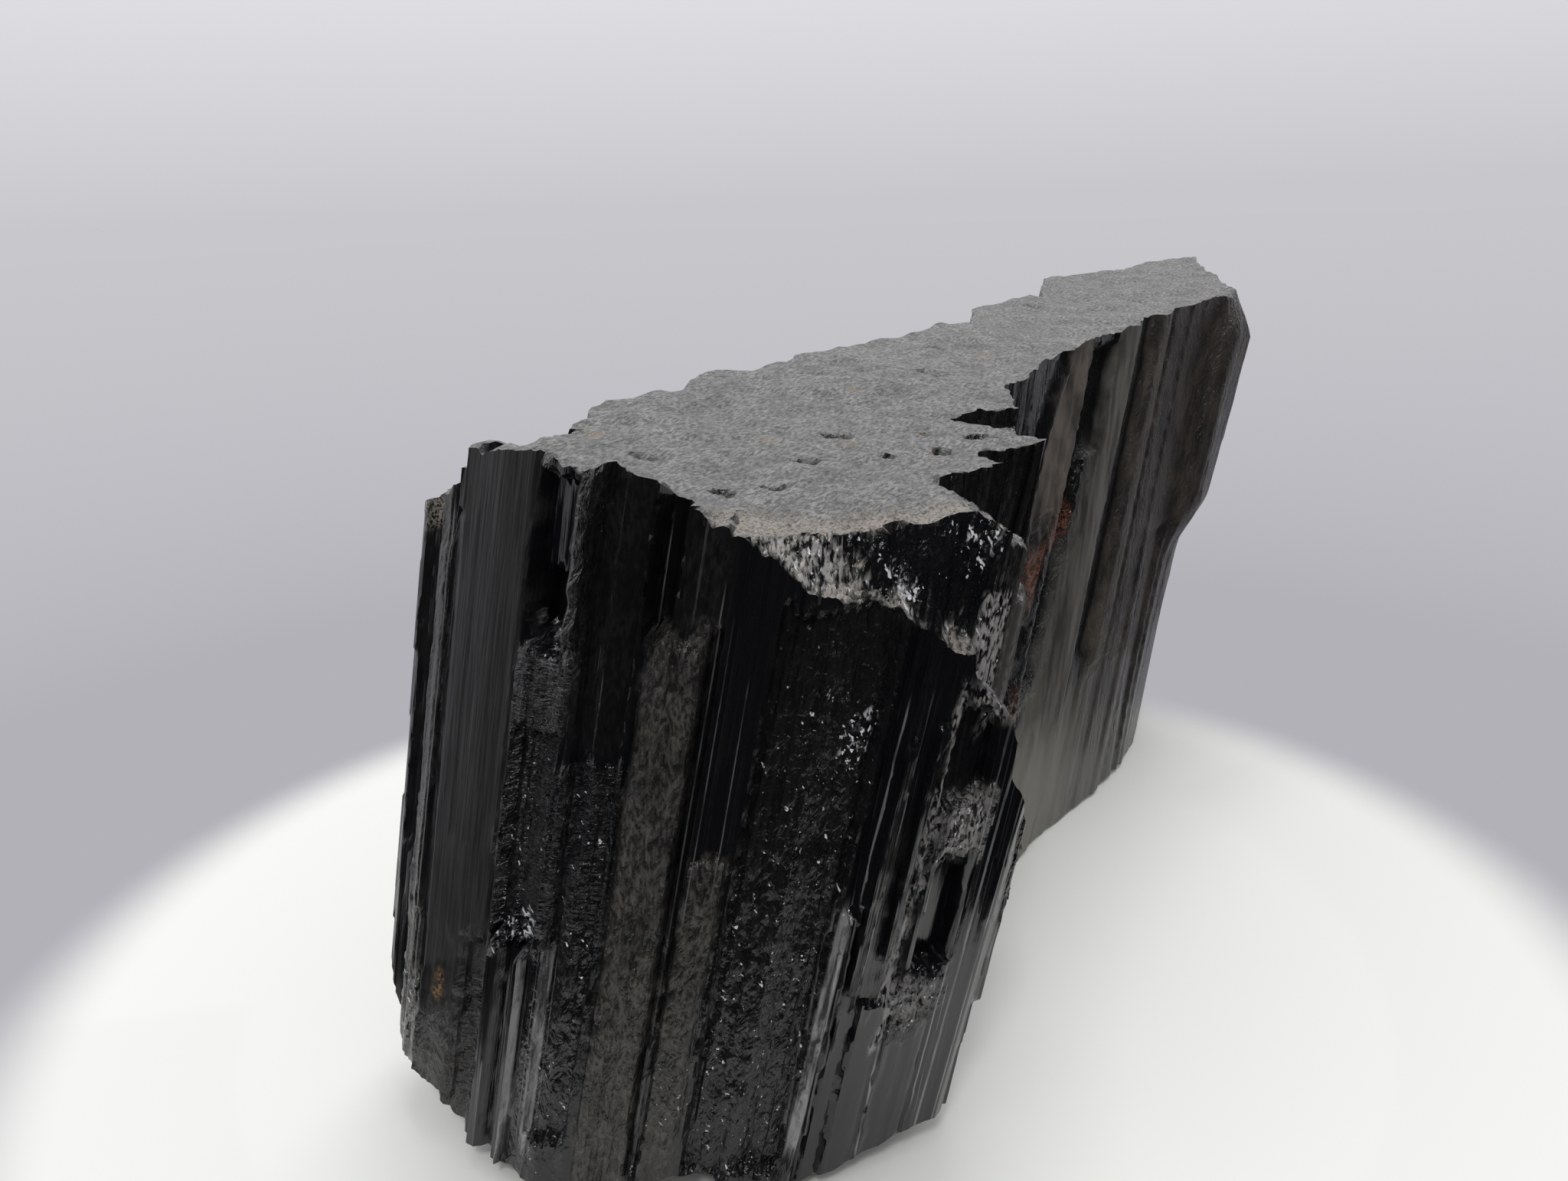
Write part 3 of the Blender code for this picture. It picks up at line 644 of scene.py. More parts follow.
crystal_mesh = bpy.data.meshes.new("schorl")
faces = sides.tolist() + top_faces.tolist() + foot_faces.tolist()
crystal_mesh.from_pydata(place_of(all_plan, all_height).tolist(), [], faces)
crystal_mesh.update()
facing = np.empty(len(all_plan) * 3, dtype=np.float32)
crystal_mesh.vertices.foreach_get("normal", facing)
facing_up = facing[2::3]
crystal_mesh.shade_smooth()
crystal_mesh.set_sharp_from_angle(angle=SHARP_FROM)
crystal = put("schorl_prism", crystal_mesh)

# Where each finish lies on the sides: zones and strengths
ZONES = {
    # Grey film that clouds the face
    "film": [
        (30.8, 34.5, -5, 44, 0.85), (35.5, 38, -5, 28, 0.7), (0.8, 3.4, 15, 49, 0.45),
        (9.9, 12.8, 8, 52, 0.35), (24.4, 26, 36, 53, 0.18), (52.8, 56.4, 25.4, 30.4, 0.5),
        (26.3, 30.1, 35, 54, 0.08), (32.2, 35, 43, 52, 0.12), (13.2, 20.6, -5, 12, 0.35),
        (38.6, 46.4, -5, 45, 0.05), (171, 181, 6, 48, 0.45), (212, 220, -5, 40, 0.4),
        (243, 250, 10, 57, 0.35), (262, 275, -5, 50, 0.4)],
    # Pale tan dust caught on broken edges
    "dust": [(0.6, 5.8, 46.8, 50, 0.9), (5.8, 9.6, 47.6, 51, 0.5)],
    # Satin columns, where the needles are too fine to see apart, their sheen painted grey
    "satin": [(13.8, 20.1, 15, 57, 1), (14.5, 18, 3, 15.5, 0.6), (7.7, 9.8, 15, 52, 0.25)],
    # Pale splintered skin
    "splinter": [
        (51.6, 52.1, 12, 39, 0.8), (52.8, 56.2, 25.6, 30, 0.55), (52.8, 54.6, 36.6, 39.5, 0.6),
        (54.4, 57, 34.6, 37.6, 0.5), (52.2, 56, 13, 16.6, 0.35), (12.4, 13.2, 4, 14, 0.5)],
    # Splinters that catch the light: glints painted pale in the colour, and small tilted facets in the
    # bump
    "sparkle": [
        (22, 24.2, 40, 42, 0.7), (21, 24, 19.2, 21.4, 1), (44, 46, 34, 37.5, 0.9),
        (52.8, 56.2, 25.6, 29.6, 0.6), (54.4, 56.8, 34.6, 37.6, 1), (52.4, 56, 12.4, 16.4, 0.4),
        (38.8, 46.4, 0, 40, 0.36), (26.3, 30, 2, 32, 0.3), (20.8, 25, 19, 36, 0.3),
        (35.6, 38.2, 7, 14, 0.4), (9.8, 13.4, 6, 14, 0.6)],
    # Ripples across the needles, one above the other
    "ladder": [(20.2, 25.2, 19.5, 41, 1), (25.2, 30.4, 22, 34, 0.4), (17.9, 20.6, 4, 18, 0.5)],
    # Rust in the flank's hollows and an ochre spot on the satin column
    "stain": [
        (15.5, 16.3, 12.6, 14.3, 1), (104, 109.6, 34.4, 38, 0.8), (100.4, 103.4, 30.2, 35.6, 0.75),
        (100.8, 106, 19, 22.6, 0.25)],
    # Faces that grew smooth
    "smooth_face": SMOOTH_FACES,
    # Broken skin, at full strength where its humps are a third of a millimetre deep or more
    "hackly": [zone[:4] + (min(1.0, zone[4] * 3.0),) for zone in HACKLY],
}
# Wide soft bands of the flank and the back, grey haze that is partly painted sheen and brown,
# and how softly they end
BANDS = {
    "haze": [
        (113.4, 119.4, 41, 60, 0.64), (111, 119, 33, 43, 0.52), (109.6, 118.6, 15, 35, 0.6),
        (107, 124, -5, 17, 0.74), (124, 136, -5, 16, 0.28), (136, 152, -5, 14, 0.15),
        (190, 206, -5, 58, 0.22), (226, 240, -5, 58, 0.25)],
    "brown": [
        (99.4, 104.6, 38, 58, 1), (98.2, 103, 28, 42, 0.3), (122.4, 127.2, 17, 60, 0.55),
        (121.8, 165, 14, 64, 0.36), (115.3, 116.1, 20, 54, 0.5), (165, 190, -5, 60, 0.25),
        (206, 222, -5, 34, 0.3), (256, 276, -5, 40, 0.3)],
}
BAND_FADE = 6.0
# Painted highlights: bright lines along ridges and narrow faces that shine, painted pale. For each,
# distance along the outline at the low and at the high end; the two heights; half the width; strength
PAINTED_RIDGE_LIGHTS = [
    (34.75, 34.95, 4, 46, 0.05, 0.35), (35.8, 35.8, 24, 44, 0.04, 0.35),
    (37.4, 37.3, 26, 40, 0.04, 0.35), (46.9, 46.9, 4, 23.5, 0.32, 1), (47.8, 47.8, 24, 38, 0.05, 0.6),
    (49.3, 49.3, 17, 38, 0.06, 0.7), (52.5, 51, 2, 31, 0.08, 0.8), (53, 53, 15, 26, 0.05, 0.6),
    (56.4, 56.2, 5, 36, 0.06, 0.7), (57.3, 57.3, 2, 33, 0.1, 0.6), (58.6, 58.6, 2, 30, 0.06, 0.7),
    (60.2, 60.2, 2, 28, 0.08, 0.6), (12.5, 12.5, 6, 50, 0.06, 0.6), (9.2, 9.2, 10, 48, 0.05, 0.5),
    (5.2, 5.2, 14, 46, 0.05, 0.5), (3.1, 3.1, 15, 46, 0.08, 0.4), (22.8, 22.8, 3, 17, 0.1, 0.5),
    (24.3, 24.3, 2, 19, 0.25, 0.7), (26.35, 26.35, 3, 19.8, 0.4, 0.9),
    (30.4, 30.4, 43.5, 50, 0.06, 0.5), (25, 25, 40, 52, 0.1, 0.3)]
RIDGE_LIGHT_REACH, RIDGE_LIGHT_EASE = 0.35, 2.0
# Clusters of painted glints on the chip, with small facets in the bump: distance along the
# outline, height, reach either way, strength. Then how their borders waver, and shares of
# the reach: the full part, the soft edge
CHIP_PAINTED_GLINTS = [
    (52.2, 47.2, 1.7, 2, 1), (49.8, 48.4, 1, 0.6, 0.7), (47, 45, 1.8, 1.3, 0.9),
    (45.4, 46.6, 1.4, 0.8, 0.7), (42.6, 48.6, 1.2, 0.7, 0.9), (49.6, 44.4, 0.9, 0.9, 0.5),
    (40.4, 48.2, 1.4, 0.8, 0.5)]
GLINT_WAVER, GLINT_CORE, GLINT_EDGE = (0.4, 1.1, 93), 0.6, 0.5
# Ochre spots on the top: plan position and radius along x, which is this many times that along y
TOP_STAINS = [
    (4.3, -17.2, 0.9), (5.5, -18.7, 1), (0.9, -22, 1.1), (-9.4, -29.2, 1.3), (7.2, -11.6, 0.8),
    (10.6, -15.2, 0.7), (-3, -6, 0.9), (-1, 12, 1.2)]
TOP_STAIN_LONG = 1.5
# How far up the surface faces where it starts to count as even (over the top, at the rim, as a
# whole face), how much further where it does in full, and how deep the rim's band is
EVEN_TOP, EVEN_RIM, EVEN_FACE, EVEN_EASE, RIM_DEPTH = 0.45, 0.3, 0.4, 0.3, 0.35
# The chip lies in front of this y and the steps behind it. How rough the even break, the chip
# and the steps' walls are, out of 1, and how much film those walls have
STEPS_FROM = -22.0
EVEN_ROUGH, CHIP_ROUGH, WALL_ROUGH, WALL_FILM = 0.3, 0.3, 0.25, 0.22
# Fringe of dust before the chip's edge: how far back it starts and its width
FRINGE_FROM, FRINGE_WIDTH = 1.8, 1.5
# Band of splinters on the chip's ledge: half its thickness along the outline, and its edge
LEDGE_THICK = [(36, 0.3), (38, 0.7), (41, 0.65), (43, 0.3), (45, 0.16), (52, 0.18)]
LEDGE_THICK_EDGE, LEDGE_SPLINTERS = 0.2, 0.8
# The wall, from this distance along the outline: how far either side of it its finish goes,
# and how softly. It is splintered in front of the first y, and behind the second it has grey
# haze that is partly painted sheen
WALL_FROM, WALL_HALF, WALL_EDGE = 50.5, 0.8, 0.5
WALL_SPLINTERS, WALL_HAZE_AND_SHEEN, SPLINTERS_TO_Y, HAZE_AND_SHEEN_FROM_Y, WALL_FADE = 0.8, 0.6, -16.0, -17.0, 2.0
# The broken floor lies outside the wall and below this level. Its splinters, how softly they
# end, how far they and the chip's painted glints reach over the edge, and how strongly
# glints are painted on the splinters
FLOOR_BELOW, FLOOR_SPLINTERS, FLOOR_EDGE, REACH_OVER, SPLINTER_PAINTED_GLINTS = 41.0, 0.4, 0.3, 0.1, 0.5

along = along_needles(run_grid, height)
side = {name: paint(zones, along, height) for name, zones in ZONES.items()}
side.update({name: paint(zones, along, height, BAND_FADE) for name, zones in BANDS.items()})
rim_even = smooth((facing_up[:height.size].reshape(height.shape) - EVEN_RIM) / EVEN_EASE)
side["even_break"] = smooth((height - rim + RIM_DEPTH) / RIM_DEPTH) * rim_even
# Painted highlights along ridges: their strength, and where each spot lies across its line
side["worn"], side["worn_off"] = np.zeros(height.shape), np.zeros(height.shape)
for low_run, high_run, low, high, half, strength in PAINTED_RIDGE_LIGHTS:
    off = along - low_run - (high_run - low_run) * (height - low) / (high - low)
    share = span(height, low, high, RIDGE_LIGHT_EASE)
    near_line = (np.abs(off) < half + RIDGE_LIGHT_REACH) & (share > 0.0)
    side["worn"] = np.where(near_line, strength * share, side["worn"])
    side["worn_off"] = np.where(near_line, off / half, side["worn_off"])

beyond, out_of_wall = nearest_side(top_inner, CHIP_EDGE)[1], beyond_wall(top_inner)
along_top, inward_top = from_front(top_inner)
top_y = top_inner[:, 1]
even_top = smooth((facing_up[height.size:after_top] - EVEN_TOP) / EVEN_EASE)
steep = 1.0 - even_top
top = {"even_break": even_top, "pit": pit_share(top_inner)[0]}
top["hackly"] = EVEN_ROUGH * even_top + steep * np.where(top_y > STEPS_FROM, WALL_ROUGH, CHIP_ROUGH)
top["film"] = WALL_FILM * steep * (top_y > STEPS_FROM)
top["fringe"] = smooth((beyond + FRINGE_FROM) / FRINGE_WIDTH) * (top_y < STEPS_FROM) * even_top
top["stain"] = np.zeros(len(top_inner))
for x, y, wide in TOP_STAINS:
    off = np.hypot(top_inner[:, 0] - x, (top_y - y) * TOP_STAIN_LONG) / wide
    top["stain"] = np.maximum(top["stain"], 1.0 - smooth(off))
off_ledge = np.abs(top_inner_height - ledge_height(along_top, inward_top))
on_ledge = (along_top > LEDGE[0][0]) & (out_of_wall < 0.0) & (beyond > 0.0)
on_ledge = on_ledge * smooth((between(LEDGE_THICK, along_top) - off_ledge) / LEDGE_THICK_EDGE)
on_floor = smooth((out_of_wall + REACH_OVER) / FLOOR_EDGE) * (top_inner_height < FLOOR_BELOW)
top["splinter"] = np.maximum(LEDGE_SPLINTERS * on_ledge, FLOOR_SPLINTERS * on_floor)
on_wall = smooth((WALL_HALF - np.abs(out_of_wall)) / WALL_EDGE) * (along_top > WALL_FROM)
top["wall"] = WALL_SPLINTERS * on_wall * smooth((SPLINTERS_TO_Y - top_y) / WALL_FADE)
top["haze"] = WALL_HAZE_AND_SHEEN * on_wall * smooth((top_y - HAZE_AND_SHEEN_FROM_Y) / WALL_FADE)
top["sparkle"] = SPLINTER_PAINTED_GLINTS * top["splinter"]
for at, level, wide, tall, strength in CHIP_PAINTED_GLINTS:
    off = np.hypot((along_top - at) / wide, (top_inner_height - level) / tall)
    off = off + waver(flat_spot(top_inner), GLINT_WAVER)
    cluster = strength * (1.0 - smooth((off - GLINT_CORE) / GLINT_EDGE)) * (beyond > -REACH_OVER)
    top["sparkle"] = np.maximum(top["sparkle"], cluster)

# The material reads each of these by name. On the foot, only broken skin and film show
ON_FOOT = {"hackly": 1.0, "film": 0.5}
FINISHES = sorted({*side, *top})
for name in FINISHES:
    values = np.zeros(len(all_plan), dtype=np.float32)
    values[:height.size] = np.ravel(side.get(name, 0.0))
    values[height.size:after_top] = top.get(name, 0.0)
    values[after_top:] = ON_FOOT.get(name, 0.0)
    crystal_mesh.attributes.new(name, "FLOAT", "POINT").data.foreach_set("value", values)
face_facing = np.empty(len(crystal_mesh.polygons) * 3, dtype=np.float32)
crystal_mesh.polygons.foreach_get("normal", face_facing)
level_face = smooth((face_facing[2::3] - EVEN_FACE) / EVEN_EASE).astype(np.float32)
crystal_mesh.attributes.new("level_face", "FLOAT", "FACE").data.foreach_set("value", level_face)
c_place = np.concatenate([all_plan, all_height[:, None]], -1).astype(np.float32).ravel()
crystal_mesh.attributes.new("c_place", "FLOAT_VECTOR", "POINT").data.foreach_set("vector", c_place)


def colour(code):
    """sRGB hex to linear light: each channel over 255, then its 2.4 power curve undone."""
    channels = np.array([int(code[i:i + 2], 16) for i in (0, 2, 4)]) / 255.0
    linear = np.where(channels <= 0.04045, channels / 12.92, ((channels + 0.055) / 1.055) ** 2.4)
    return (*linear.tolist(), 1.0)


def new_finish(name):
    """A material, its nodes and its shader."""
    material = bpy.data.materials.new(name)
    material.use_nodes = True
    return material, material.node_tree, material.node_tree.nodes["Principled BSDF"]


def feed(node, links):
    """Fills sockets, by name or number, with values or with outputs of other nodes."""
    for key, value in links.items():
        if isinstance(value, bpy.types.NodeSocket):
            node.id_data.links.new(value, node.inputs[key])
        else:
            node.inputs[key].default_value = value


def add(tree, kind, links, **settings):
    """Adds a node with its links and, as settings, its properties. Gives back its outputs."""
    node = tree.nodes.new("ShaderNode" + kind)
    for name, value in settings.items():
        setattr(node, name, value)
    feed(node, links)
    return node.outputs


# Schorl is an iron tourmaline: opaque black, glassy, refractive index about 1.64
SCHORL_IOR = 1.64
BLACK = colour("08090b")
# Grey film, the grey haze of the wide bands, partly painted sheen, and their brown, and the
# sheen painted grey on satin columns where needles are finest
FILM_GREY, HAZE_AND_SHEEN_GREY, HAZE_BROWN = colour("5a564e"), colour("6d6a61"), colour("5a5148")
PAINTED_SHEEN_GREY = colour("2b2b2b")
# Splinters, painted glints of small broken faces, and painted highlights along ridges
SPLINTER_GREY, PAINTED_GLINT_PALE, RIDGE_LIGHT_GREY = colour("a19f9a"), colour("c4c7c8"), colour("7a7b7a")
# The even break, crushed needle ends between dark ones, with dust and dark pits
BREAK_DARK, BREAK_PALE = colour("525251"), colour("9a9996")
DUST_TAN, PIT_OLIVE = colour("a2988a"), colour("1d1b14")
# Iron stains: rust in dark skin, ochre on grey
RUST, OCHRE = colour("7a4428"), colour("8d7646")
# How rough each finish is: glassy skin from the first to the second, then over it in turn
SKIN_ROUGH = (0.20, 0.34)
ROUGH = {"smooth_face": 0.12, "banded": 0.60, "satin": 0.48, "film_cover": 0.55, "even_break": 0.46}
# Upper edge of the wall's bright lower part: height over the plan's zero, and fall along y
WALL_TOP, WALL_TOP_FALL = 38.0, 0.277
# Axis about which the barbs of the broken skin lean, and how long they are for their width
BARB_AXIS, BARB_STRETCH = (0.3, 1.0, 0.0), (1, 1, 0.28)


def schorl():
    """Black glassy mineral with fine striations, facets in its broken skin, film and stains, and
    painted glints, highlights and sheen.
    """
    material, tree, shader = new_finish("schorl")
    zone = {name: add(tree, "Attribute", {}, attribute_name=name)["Fac"]
            for name in (*FINISHES, "level_face")}
    place = add(tree, "Attribute", {}, attribute_name="c_place")["Vector"]
    split = add(tree, "SeparateXYZ", {0: place})

    def grains(scale, detail, stretch=(1, 1, 1), falling=0.6, spot=place):
        """Random pattern of so many grains to the millimetre, drawn out where a stretch is small."""
        spot = add(tree, "VectorMath", {0: spot, 1: stretch}, operation="MULTIPLY")[0]
        links = {"Vector": spot, "Scale": scale, "Detail": detail, "Roughness": falling}
        return add(tree, "TexNoise", links)["Fac"]

    def feather(turn, scale):
        """Short strokes that lean to one side, like the barbs of a feather."""
        leaning = add(tree, "VectorRotate", {0: place, 2: BARB_AXIS, 3: turn})[0]
        return grains(scale, 3, BARB_STRETCH, 0.55, leaning)

    def facets(scale):
        """Small flat faces: in each random cell, the way from its middle times its own tilt."""
        spot = add(tree, "VectorMath", {0: place, 1: (scale, scale, scale)}, operation="MULTIPLY")[0]
        cell = add(tree, "TexVoronoi", {"Vector": spot, "Scale": 1.0, "Randomness": 1.0})
        away = add(tree, "VectorMath", {0: spot, 1: cell["Position"]}, operation="SUBTRACT")[0]
        tilt = add(tree, "VectorMath", {0: cell["Color"], 1: (0.5, 0.5, 0.5)}, operation="SUBTRACT")[0]
        return add(tree, "VectorMath", {0: away, 1: tilt}, operation="DOT_PRODUCT")["Value"]

    def cover(*parts, take="MULTIPLY"):
        """Share of the surface that a finish covers: its parts multiplied, or their maximum.

        A part is a strength, or a pattern with two of its levels and the shares at them (0
        and 1 where none are given), eased between.
        """
        share = None
        for part in parts:
            if isinstance(part, tuple):
                links = dict(zip(("Value", "From Min", "From Max", "To Min", "To Max"), part))
                part = add(tree, "MapRange", links, interpolation_type="SMOOTHSTEP")["Result"]
            both = {0: share, 1: part}
            share = part if share is None else add(tree, "Math", both, operation=take)[0]
        return share

    # Dust lies on the fringe too, and the low part of the wall is splintered, with painted glints
    zone["even_break"] = cover(zone["even_break"], zone["level_face"])
    fringe = cover(zone["fringe"], zone["level_face"])
    zone["dust"] = cover(zone["dust"], fringe, take="MAXIMUM")
    over_wall = {0: split["Y"], 1: WALL_TOP_FALL, 2: split["Z"]}
    over_wall = add(tree, "Math", over_wall, operation="MULTIPLY_ADD")[0]
    on_wall = cover(zone["wall"], (over_wall, WALL_TOP - 0.4, WALL_TOP + 0.2, 1, 0))
    zone["splinter"] = cover(zone["splinter"], on_wall, take="MAXIMUM")
    zone["sparkle"] = cover(zone["sparkle"], cover(on_wall, 0.5), take="MAXIMUM")
    zone["banded"] = cover(zone["haze"], zone["brown"], take="MAXIMUM")

    # Needles in two widths, and barbs that lean one way or the other from patch to patch
    streaks = grains(2.4, 3, (1, 1, 0.04))
    fine_streaks = grains(7, 2, (1, 1, 0.03))
    either_way = cover((grains(0.55, 2), 0.47, 0.53))
    barbs = {0: either_way, 2: feather(0.6, 2), 3: feather(-0.5, 2)}
    barbs = add(tree, "Mix", barbs, data_type="FLOAT")[0]
    fibres = add(tree, "Mix", {0: 0.5, 2: barbs, 3: feather(0.25, 4.6)}, data_type="FLOAT")[0]

    # The film lies in fibres, thinner in wide patches; the bands, whose grey is partly painted sheen,
    # are striped, apart from the foot
    film_patches = (grains(0.30, 3), 0.35, 0.62, 0.55, 1)
    zone["film_cover"] = cover(zone["film"], (fibres, 0.41, 0.65, 0.12, 0.95), film_patches)
    stripes = cover((grains(0.9, 3, (1, 1, 0.02)), 0.36, 0.60, 0.45, 1))
    stripes = cover(stripes, (split["Z"], 20, 10), take="MAXIMUM")
    haze = cover(zone["haze"], (grains(0.22, 1, (1, 1, 0.10)), 0.35, 0.65, 0.7, 1), stripes)
    # Painted glints: thin pale strokes everywhere that it sparkles, and broad ones where it does so
    # most
    strokes = {0: zone["sparkle"], 1: 0.15, 2: feather(0.85, 3)}
    strokes = add(tree, "Math", strokes, operation="MULTIPLY_ADD")[0]
    strokes = cover((strokes, 0.72, 0.75), (zone["sparkle"], 0.05, 0.2))
    broad = cover((barbs, 0.57, 0.66), (zone["sparkle"], 0.5, 1, 0, 0.7))
    off_line = add(tree, "Math", {0: zone["worn_off"]}, operation="ABSOLUTE")[0]
    ridge_light_patches = (grains(2, 4, (1, 1, 0.10)), 0.36, 0.56, 0.2, 1)
    # The even break is speckled, paler in patches, and its stains are ochre
    flecks = cover((grains(4.5, 6, (1, 0.45, 1)), 0.36, 0.66), (grains(0.5, 4), 0.30, 0.62, 0.45, 1))
    speckled = add(tree, "Mix", {0: flecks, 6: BREAK_DARK, 7: BREAK_PALE}, data_type="RGBA")[2]
    pale_ground = cover(zone["even_break"], zone["satin"], take="MAXIMUM")
    stains = add(tree, "Mix", {0: pale_ground, 6: RUST, 7: OCHRE}, data_type="RGBA")[2]
    # The skin's colours in turn: the grey of satin columns and bands is partly painted sheen, glints
    # and ridge lines are painted highlights
    skin = BLACK
    for share, tone in (
            (cover(zone["brown"], (grains(0.45, 4, (1, 1, 0.4)), 0.32, 0.66, 0.25, 1)), HAZE_BROWN),
            (haze, HAZE_AND_SHEEN_GREY),
            (cover(zone["satin"], (fine_streaks, 0.35, 0.65, 0.35, 1.1)), PAINTED_SHEEN_GREY),
            (zone["film_cover"], FILM_GREY),
            (zone["even_break"], speckled),
            (cover(zone["splinter"], (fibres, 0.44, 0.56)), SPLINTER_GREY),
            (cover(strokes, broad, take="MAXIMUM"), PAINTED_GLINT_PALE),
            (cover(zone["worn"], (off_line, 0.7, 1.3, 1, 0), ridge_light_patches), RIDGE_LIGHT_GREY),
            (cover(zone["dust"], (grains(5, 4), 0.42, 0.58)), DUST_TAN),
            (cover((zone["pit"], 0.25, 0.95)), PIT_OLIVE),
            (cover(zone["stain"], (grains(3.2, 4), 0.40, 0.60)), stains)):
        skin = add(tree, "Mix", {0: share, 6: skin, 7: tone}, data_type="RGBA")[2]

    rough = cover((streaks, 0.35, 0.7, *SKIN_ROUGH))
    for name, level in ROUGH.items():
        rough = add(tree, "Mix", {0: zone[name], 2: rough, 3: level}, data_type="FLOAT")[0]

    # Relief too fine for the mesh: pattern, where it lies, and how far it stands out in mm.
    # Striations are calm in broken skin, in the bands and on smooth faces, less so on satin
    calm = cover(zone["banded"], zone["smooth_face"], take="MAXIMUM")
    calm = add(tree, "Math", {0: zone["satin"], 1: -0.6, 2: calm}, operation="MULTIPLY_ADD")[0]
    calm = cover(zone["hackly"], calm, take="MAXIMUM")
    calm = cover((calm, 0, 1, 1, 0.2))
    surface = 0.0
    for pattern, share, rise in (
            (streaks, calm, 0.09), (fine_streaks, calm, 0.0315),
            (facets(1.7), zone["hackly"], 0.12), (facets(4), zone["hackly"], 0.06),
            (barbs, zone["hackly"], 0.6), (facets(2.6), zone["sparkle"], 0.32),
            (grains(1.9, 3, (0.22, 0.22, 1)), zone["ladder"], 1.1), (fibres, zone["film"], 0.45),
            (grains(1.3, 5), zone["even_break"], 0.7), (grains(4.5, 3), zone["even_break"], 0.28)):
        links = {0: pattern, 1: cover(share, rise * MM), 2: surface}
        surface = add(tree, "Math", links, operation="MULTIPLY_ADD")[0]
    bump = add(tree, "Bump", {"Height": surface, "Strength": 1.0, "Distance": 1.0})["Normal"]
    feed(shader, {"Base Color": skin, "Roughness": rough, "IOR": SCHORL_IOR, "Metallic": 0.0,
                  "Normal": bump})
    return material


crystal_mesh.materials.append(schorl())
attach(crystal, "root")
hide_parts("schorl_crystal")

# Floor: a plain pale board with a matt white face, cut from sheet. White round the crystal, it
# fades into the studio's backdrop between these two distances
FLOOR_REACH, FLOOR_MARKS = 3.0, 7
FLOOR_WHITE = colour("e3e4df")
FADE_FROM, FADE_TO = 0.065, 0.077
BACKDROP_LOW, BACKDROP_LEVEL = colour("b2b1b8"), colour("c8c7cc")
BACKDROP_FROM = 0.13
PLAN_ZERO = HOME * MM


def sheet(name, x, y, level, finish):
    """Object with a face between each four neighbours of a grid of points at their levels."""
    points = np.stack([x, y, np.broadcast_to(level, x.shape)], -1).reshape(-1, 3)
    index = np.arange(len(points)).reshape(x.shape)
    faces = np.stack([index[:-1, :-1], index[:-1, 1:], index[1:, 1:], index[1:, :-1]], -1)
    mesh = bpy.data.meshes.new(name)
    mesh.from_pydata(points.tolist(), [], faces.reshape(-1, 4).tolist())
    mesh.materials.append(finish)
    return put(name, mesh)


def matt_board():
    """Matt white paint, and further out the even tone of a backdrop lit from behind."""
    material, tree, shader = new_finish("matt_board")
    feed(shader, {"Base Color": FLOOR_WHITE, "Roughness": 0.7})
    place = add(tree, "TexCoord", {})["Object"]
    middle = add(tree, "VectorMath", {0: place, 1: (*PLAN_ZERO, 0.0)}, operation="ADD")[0]
    far = add(tree, "VectorMath", {0: middle}, operation="LENGTH")["Value"]
    fade = {"Value": far, "From Min": FADE_FROM, "From Max": FADE_TO}
    share = add(tree, "MapRange", fade, interpolation_type="SMOOTHSTEP")["Result"]
    near = add(tree, "Math", {0: BACKDROP_FROM, 1: far}, operation="DIVIDE")[0]
    tone = add(tree, "Mix", {0: near, 6: BACKDROP_LEVEL, 7: BACKDROP_LOW}, data_type="RGBA")[2]
    backdrop = add(tree, "Emission", {"Color": tone, "Strength": 1.0})[0]
    both = add(tree, "MixShader", {0: share, 1: shader.outputs["BSDF"], 2: backdrop})[0]
    feed(tree.nodes["Material Output"], {"Surface": both})
    return material


def floor_board():
    """Flat square sheet about the part's own zero."""
    marks = np.linspace(-FLOOR_REACH, FLOOR_REACH, FLOOR_MARKS)
    return sheet("floor", *np.meshgrid(marks, marks), 0.0, matt_board())


floor_board()

# Dark card: black felt on a bent board. It stands on the viewer's side, seen only in the
# crystal's glossy faces, so they stay black as schorl does in a studio.
# Its section: distance from the plan's zero and level there
CARD_REACH = [0.052, 0.12, 0.25, 0.65, 0.65, 0.65]
CARD_LEVEL = [0.0006, 0.0006, 0.0006, 0.0006, 0.25, 1.00]
CARD_TURN, CARD_HALF, CARD_MARKS = math.radians(-32.0), math.radians(102.0), 49
FELT_BLACK = colour("151515")


def dark_card():
    """Section of the card carried round part of a circle about the plan's zero."""
    angle = np.linspace(CARD_TURN - CARD_HALF, CARD_TURN + CARD_HALF, CARD_MARKS)
    reach = np.array(CARD_REACH)[:, None]
    x, y = reach * np.cos(angle) - PLAN_ZERO[0], reach * np.sin(angle) - PLAN_ZERO[1]
    felt, _, shader = new_finish("black_felt")
    feed(shader, {"Base Color": FELT_BLACK, "Roughness": 1.0, "Specular IOR Level": 0.0})
    card = sheet("dark_card", x, y, np.array(CARD_LEVEL)[:, None], felt)
    for ray in ("camera", "diffuse", "shadow", "transmission"):
        setattr(card, "visible_" + ray, False)
    return card


dark_card()

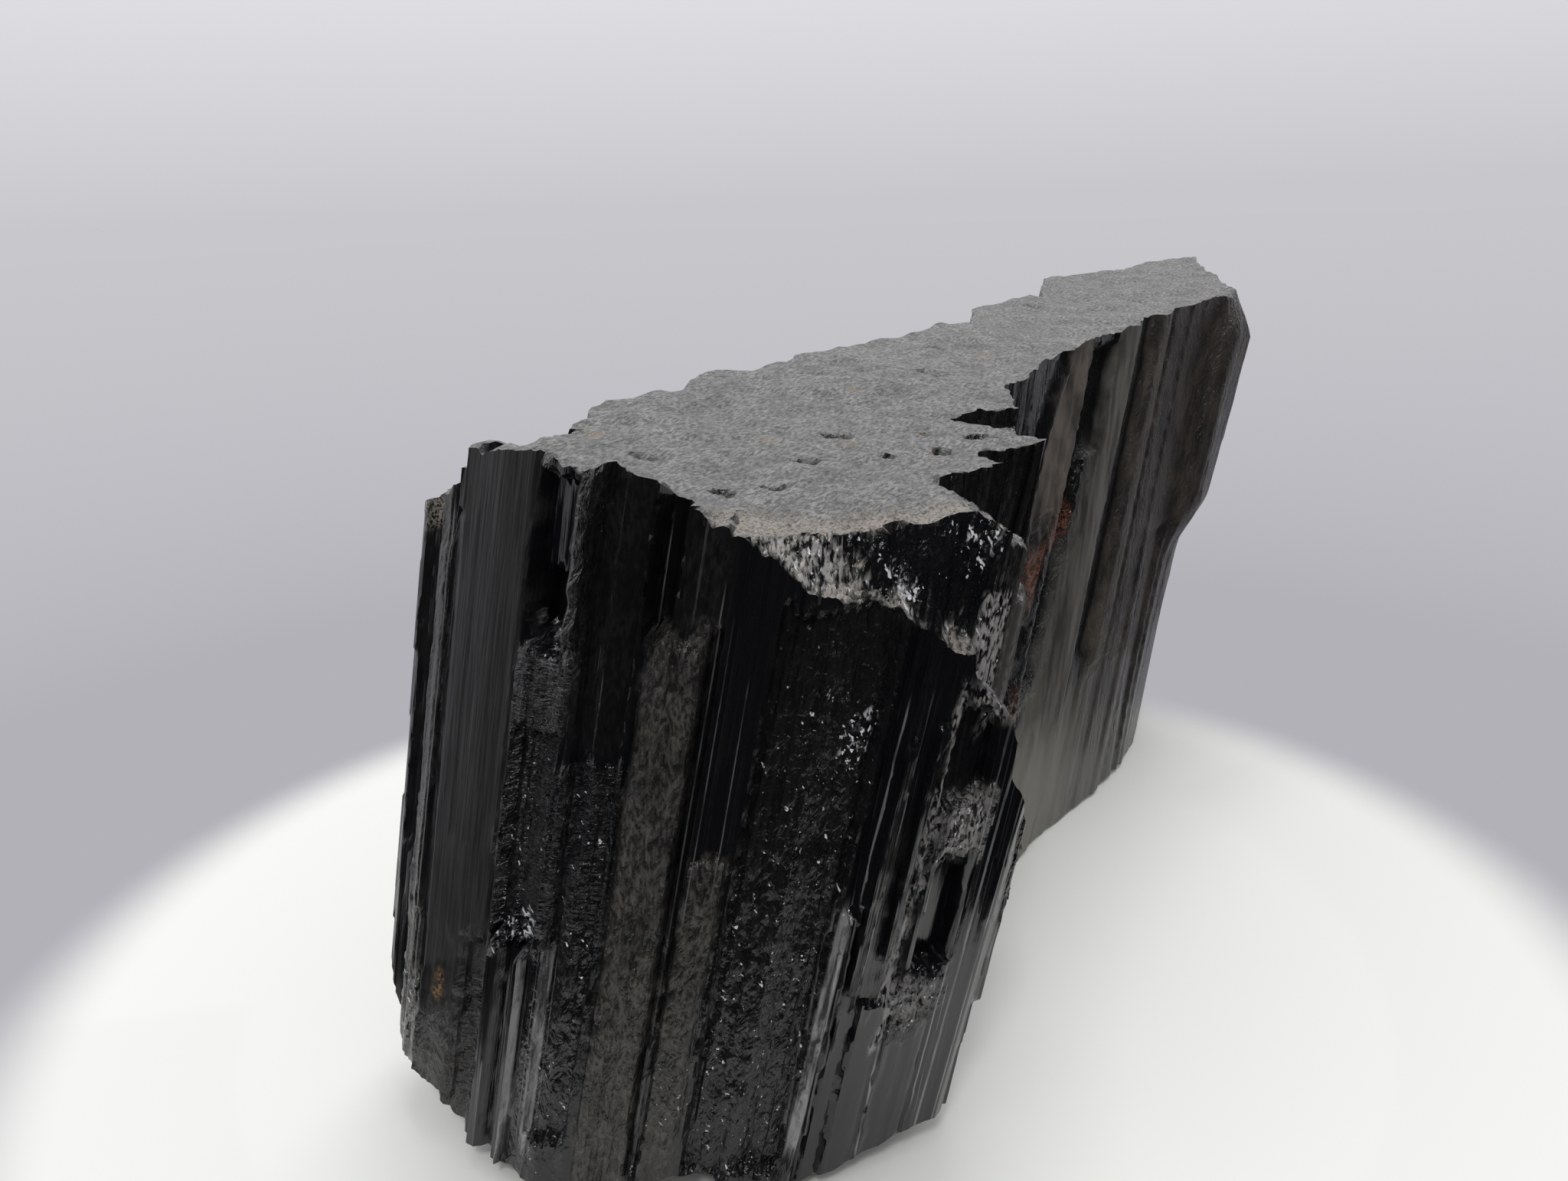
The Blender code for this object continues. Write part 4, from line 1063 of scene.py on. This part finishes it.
# Light: a pale lilac-grey studio, brighter from the horizon up, with a wide soft box overhead
# and softer ones at the sides and in front
BACKDROP_HIGH = colour("e2e1e5")
BACKDROP_RISE = 0.17
world = bpy.data.worlds.new("studio")
bpy.context.scene.world = world
world.use_nodes = True
sky = world.node_tree
up = add(sky, "SeparateXYZ", {0: add(sky, "TexCoord", {})["Generated"]})["Z"]
lift = add(sky, "MapRange", {"Value": up, "From Min": 0.0, "From Max": BACKDROP_RISE})["Result"]
glow = add(sky, "Mix", {0: lift, 6: BACKDROP_LEVEL, 7: BACKDROP_HIGH}, data_type="RGBA")[2]
feed(sky.nodes["Background"], {"Color": glow, "Strength": 1.0})
bpy.context.scene.view_settings.view_transform = "Standard"


def soft_box(name, place, target, size, power):
    """Square area light at a place, turned to face the target."""
    light = bpy.data.lights.new(name, "AREA")
    light.shape = "SQUARE"
    light.size = size
    light.energy = power
    box = put(name, light)
    box.location = place
    box.rotation_euler = (Vector(target) - Vector(place)).to_track_quat("-Z", "Y").to_euler()
    box.visible_camera = False


soft_box("overhead", (-0.05, 0.15, 0.75), (0, 0, 0.03), 0.30, 2.0)
soft_box("left", (-0.60, -0.10, 0.35), (0, -0.03, 0.03), 0.30, 0.25)
soft_box("right", (0.30, 0.58, 0.35), (0, 0, 0.03), 0.30, 0.6)
soft_box("front", (0.25, -0.45, 0.60), (0, -0.03, 0.03), 0.12, 1.4)

# Camera: the photograph's viewpoint, and its focal length in pixels of a picture so many wide
CAMERA_AT = (58.320, -111.202, 68.267)
CAMERA_FORWARD = Vector((-0.581435, 0.758851, -0.293390))
CAMERA_UP = Vector((-0.146770, 0.256862, 0.955239))
FOCAL_PIXELS, PICTURE_PIXELS = 1650.0, 2048.0
SENSOR_WIDTH = 36.0
lens = bpy.data.cameras.new("viewpoint")
lens.sensor_width = SENSOR_WIDTH
lens.lens = SENSOR_WIDTH * FOCAL_PIXELS / PICTURE_PIXELS
lens.clip_start = 0.002
viewpoint = put("viewpoint", lens)
right = CAMERA_FORWARD.cross(CAMERA_UP)
turn = Matrix((right, CAMERA_UP, -CAMERA_FORWARD)).transposed().to_4x4()
viewpoint.matrix_world = Matrix.Translation(Vector(CAMERA_AT) * MM) @ turn
bpy.context.scene.camera = viewpoint
